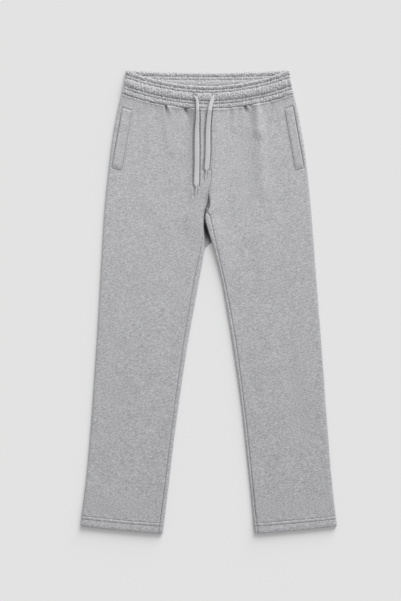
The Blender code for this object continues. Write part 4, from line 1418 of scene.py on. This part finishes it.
def eyelets(front_band, thread):
    """Two buttonholes in satin stitch, where the drawstring leaves the band."""
    height = surface_of([front_band])
    for side, route in ROUTES.items():
        stitches = []
        for angle in np.linspace(0, 2 * math.pi, EYELET_STITCHES, endpoint=False):
            ends = []
            for half_x, half_y in EYELET_BORDER:
                x = route[0].x + half_x * math.cos(angle)
                y = route[0].y + EYELET_SHIFT + half_y * math.sin(angle)
                ends.append((x, y, height(x, y) + EYELET_LIFT))
            stitches.append(ends)
        stitches_piece("buttonhole_" + side, stitches, thread, front_band, radius=EYELET_THREAD)


# -------- materials

class Shader:
    """A Principled material and short ways to add nodes to it."""

    def __init__(self, name, roughness, sheen=0.0, sheen_roughness=0.5, specular=0.2):
        self.material = bpy.data.materials.new(name)
        self.material.use_nodes = True
        self.tree = self.material.node_tree
        self.inputs = self.tree.nodes["Principled BSDF"].inputs
        self.inputs["Roughness"].default_value = roughness
        self.inputs["Sheen Weight"].default_value = sheen
        self.inputs["Sheen Roughness"].default_value = sheen_roughness
        self.inputs["Specular IOR Level"].default_value = specular
        self.place = self.node("ShaderNodeTexCoord").outputs["Object"]

    def node(self, kind, inputs=(), **settings):
        """A node with these settings, whose inputs are values or other nodes' outputs."""
        made = self.tree.nodes.new(kind)
        for name, value in settings.items():
            setattr(made, name, value)
        for name, value in dict(inputs).items():
            if isinstance(value, bpy.types.NodeSocket):
                self.tree.links.new(value, made.inputs[name])
            else:
                made.inputs[name].default_value = value
        return made

    def noise(self, size, turn=0.0, detail=2.0):
        """Noise whose cells measure `size` millimetres along x, y and z, turned about z."""
        turned = self.node("ShaderNodeMapping", {"Vector": self.place, "Rotation": (0, 0, turn)})
        scale = [1 / (MM * length) for length in size]
        scaled = self.node("ShaderNodeMapping", {"Vector": turned.outputs["Vector"], "Scale": scale})
        inputs = {"Vector": scaled.outputs["Vector"], "Scale": 1.0, "Detail": detail, "Roughness": 0.55}
        return self.node("ShaderNodeTexNoise", inputs).outputs["Fac"]

    def math(self, operation, first, second):
        return self.node("ShaderNodeMath", {0: first, 1: second}, operation=operation).outputs[0]

    def mixed(self, *parts):
        """Weighted sum of (value, weight) pairs, each taken about its own middle of 0.5."""
        total = 0.5
        for value, weight in parts:
            weighted = self.math("MULTIPLY", self.math("SUBTRACT", value, 0.5), weight)
            total = self.math("ADD", weighted, total)
        return total

    def colour(self, factor, first, second):
        """The base colour goes from one colour to another with the factor."""
        made = self.node("ShaderNodeMix", {"Factor": factor, "A": first, "B": second}, data_type="RGBA")
        self.tree.links.new(made.outputs["Result"], self.inputs["Base Color"])
        return made.outputs["Result"]

    def bump(self, height, distance, strength):
        inputs = {"Strength": strength, "Distance": distance * MM, "Height": height}
        made = self.node("ShaderNodeBump", inputs)
        self.tree.links.new(made.outputs["Normal"], self.inputs["Normal"])


def tinted(level):
    return (level, level, level * 1.028, 1)


def marl(name):
    """Grey marl jersey: dark and pale fibres in short, mostly level flecks, and a fine knit, with painted light that
    makes it paler towards the waist and darker towards the hems, and painted shade where the shade attribute darkens
    it.
    """
    shader = Shader(name, 0.95, 0.25, 0.6)
    flecks = shader.noise((4.0, 1.7, 2.4), turn=0.06)
    slanted = shader.noise((5.0, 1.9, 2.4), turn=-0.32, detail=1.5)
    fine = shader.noise((1.6, 1.1, 1.2), detail=1.0)
    cloudy = shader.noise((42, 36, 40))
    # painted light: the marl is paler towards the waist and darker towards the hems, standing in for the light falling
    # off down the legs; fibres carries this along with the flecks
    metres_up = shader.node("ShaderNodeSeparateXYZ", {"Vector": shader.place}).outputs["Y"]
    painted_light_falloff = shader.math("ADD", metres_up, 0.5)
    fibres = shader.mixed((flecks, 1.25), (slanted, 0.93), (fine, 0.78), (cloudy, 0.17),
                          (painted_light_falloff, 0.27))
    lit = shader.colour(fibres, tinted(0.24), tinted(0.63))
    # painted shade: the shade attribute mixes the marl towards near black in the crease, the crotch gap, deep puckers,
    # the gaping waist seam, beside the cords and along a welt's inner edge
    shade = shader.node("ShaderNodeAttribute", attribute_name="shade").outputs["Fac"]
    shader.colour(shade, lit, tinted(0.014))
    loops = shader.noise((0.55, 0.9, 0.8), detail=1.0)
    pile = shader.noise((2.6, 1.9, 2.2), detail=2.5)
    shader.bump(shader.mixed((loops, 0.6), (pile, 1.0)), 0.5, 0.36)
    return shader.material


def brushed_inside(name):
    shader = Shader(name, 1.0, 0.4, 0.7)
    tufts = shader.noise((2.2, 2.2, 2.2), detail=3.0)
    cloudy = shader.noise((18, 18, 18))
    shader.colour(shader.mixed((tufts, 1.2), (cloudy, 0.5)), tinted(0.40), tinted(0.60))
    shader.bump(tufts, 0.9, 0.8)
    return shader.material


def knit_tape(name):
    shader = Shader(name, 0.85, 0.15)
    fibres = shader.noise((0.9, 3.2, 1.0))
    flecks = shader.noise((1.8, 2.4, 1.8))
    shader.colour(shader.mixed((fibres, 0.9), (flecks, 0.7)), tinted(0.48), tinted(0.67))
    shader.bump(fibres, 0.25, 0.5)
    return shader.material


def sewing_thread(name):
    shader = Shader(name, 0.7, 0.1, 0.4)
    twist = shader.noise((0.5, 0.5, 0.5))
    shader.colour(twist, tinted(0.34), tinted(0.48))
    shader.bump(twist, 0.1, 0.5)
    return shader.material


def pale_ground(name):
    shader = Shader(name, 0.9, specular=0.0)
    mottled = shader.noise((220, 220, 220))
    shader.colour(mottled, (0.80, 0.80, 0.80, 1), (0.812, 0.812, 0.812, 1))
    return shader.material


# -------- what each piece says of itself

# Flat cuts in metres and square metres
CUTS = {
    "front": {"flat": (0.29, 1.00), "held": "laid", "area": 0.205},
    "back": {"flat": (0.31, 1.02), "held": "laid", "area": 0.235},
    "waistband": {"flat": (0.47, 0.051), "held": "gathered"},
    "pocket": {"flat": (0.020, 0.142), "held": "laid"},
}


def declare(piece, node, slot, rests_on):
    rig.replaces(piece, node)
    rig.slot(piece, slot)
    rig.sheet(piece, rests_on=[rests_on], **CUTS[node.split("_")[0]])
    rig.ride(piece, "root")


def declare_cord(piece, points, tip, side):
    for item, node in ((piece, "drawcord_"), (tip, "cord_tip_")):
        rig.replaces(item, node + side)
        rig.slot(item, "cord")
    length = float(np.linalg.norm(np.diff(points, axis=0), axis=1).sum()) * MM
    path = (points[::8] * MM).tolist() + [(points[-1] * MM).tolist()]
    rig.cord(piece, exit=path[0], length=round(length, 3), diameter=TAPE_WIDE * MM, far_end="bare",
            stiffness="limp", lay="loose", path=path, with_pieces=[tip])
    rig.ride(piece, "root")
    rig.ride(tip, "root")


# -------- floor, light and camera

FLOOR_HALF = 2.0
VIEW_CENTRE = (-18.7, 3.1)           # millimetres, at the middle of the picture
VIEW_HEIGHT = 1.364                  # metres of the garment's plane that the picture spans
CAMERA_DISTANCE = 3.5
SENSOR = 36.0
LIGHT_FROM = math.radians(67)        # seen from above, turned from +X towards +Y
LIGHT_ELEVATION = math.radians(21)
LIGHT_SOFTNESS = math.radians(40)
LIGHT_STRENGTH = 3.65
SKY_STRENGTH = 0.535


def floor(material):
    verts = [(x * FLOOR_HALF, y * FLOOR_HALF, 0) for x, y in ((-1, -1), (1, -1), (1, 1), (-1, 1))]
    piece = new_piece("floor", verts, [(0, 1, 2, 3)], [material])
    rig.stage(piece)
    return piece


def placed(name, data, location):
    item = bpy.data.objects.new(name, data)
    item.location = location
    bpy.context.scene.collection.objects.link(item)
    return item


def light():
    lamp = bpy.data.lights.new("key", "SUN")
    lamp.energy = LIGHT_STRENGTH
    lamp.angle = LIGHT_SOFTNESS
    level = math.cos(LIGHT_ELEVATION)
    towards = Vector((level * math.cos(LIGHT_FROM), level * math.sin(LIGHT_FROM),
                      math.sin(LIGHT_ELEVATION)))
    placed("key", lamp, towards * 3).rotation_euler = towards.to_track_quat("Z", "Y").to_euler()
    world = bpy.data.worlds.new("studio")
    world.use_nodes = True
    sky = world.node_tree.nodes["Background"]
    sky.inputs["Color"].default_value = (1, 1, 1, 1)
    sky.inputs["Strength"].default_value = SKY_STRENGTH
    bpy.context.scene.world = world


def camera():
    data = bpy.data.cameras.new("camera")
    data.sensor_width = SENSOR
    data.lens = SENSOR * CAMERA_DISTANCE / VIEW_HEIGHT
    place = (VIEW_CENTRE[0] * MM, VIEW_CENTRE[1] * MM, CAMERA_DISTANCE)
    bpy.context.scene.camera = placed("camera", data, place)


# -------- the whole

def main():
    camera()
    light()
    bpy.context.scene.view_settings.view_transform = "Standard"
    fleece = marl("fleece_marl")
    band_fleece = marl("band_marl")
    inside = brushed_inside("fleece_inside")
    tape = knit_tape("knit_tape")
    thread = sewing_thread("thread")
    ground = floor(pale_ground("ground"))

    fronts = {side: leg_shell(side, True, [fleece, inside]) for side in SIGN}
    backs = {side: leg_shell(side, False, [fleece, inside]) for side in SIGN}
    front_band = band_shell(True, band_fleece)
    back_band = band_shell(False, band_fleece)
    height = surface_of([*fronts.values(), front_band])
    welts = {side: pocket_welt(side, height, fleece) for side in SIGN}
    sew("band_front", front_band, thread, 200, band_lines(DIPS[True]))
    sew("band_inside", back_band, thread, 210, band_lines(DIPS[False]))
    for side in SIGN:
        sew("hem_front_" + side, fronts[side], thread, 220, hem_lines(side, True))
        sew("hem_back_" + side, backs[side], thread, 230, hem_lines(side, False), True, UNDER_LIFT)
        sew("welt_" + side, welts[side], thread, 240, welt_lines(side))
    eyelets(front_band, thread)

    for side in SIGN:
        declare(fronts[side], "front_" + side, "fleece", backs[side])
        declare(backs[side], "back_" + side, "fleece", ground)
        declare(welts[side], "pocket_welt_" + side, "fleece", fronts[side])
    declare(front_band, "waistband_front", "band_fleece", back_band)
    declare(back_band, "waistband_back", "band_fleece", ground)
    for side in SIGN:
        piece, points = drawcord(side, height, tape)
        tip = cord_tip(side, height, tape)
        declare_cord(piece, points, tip, side)


main()
with open("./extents.json", "w") as size_file:
    boxes = {"cad": cad_box, "visual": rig.bounds()}
    json.dump({name: [list(corner) for corner in box] for name, box in boxes.items()}, size_file)
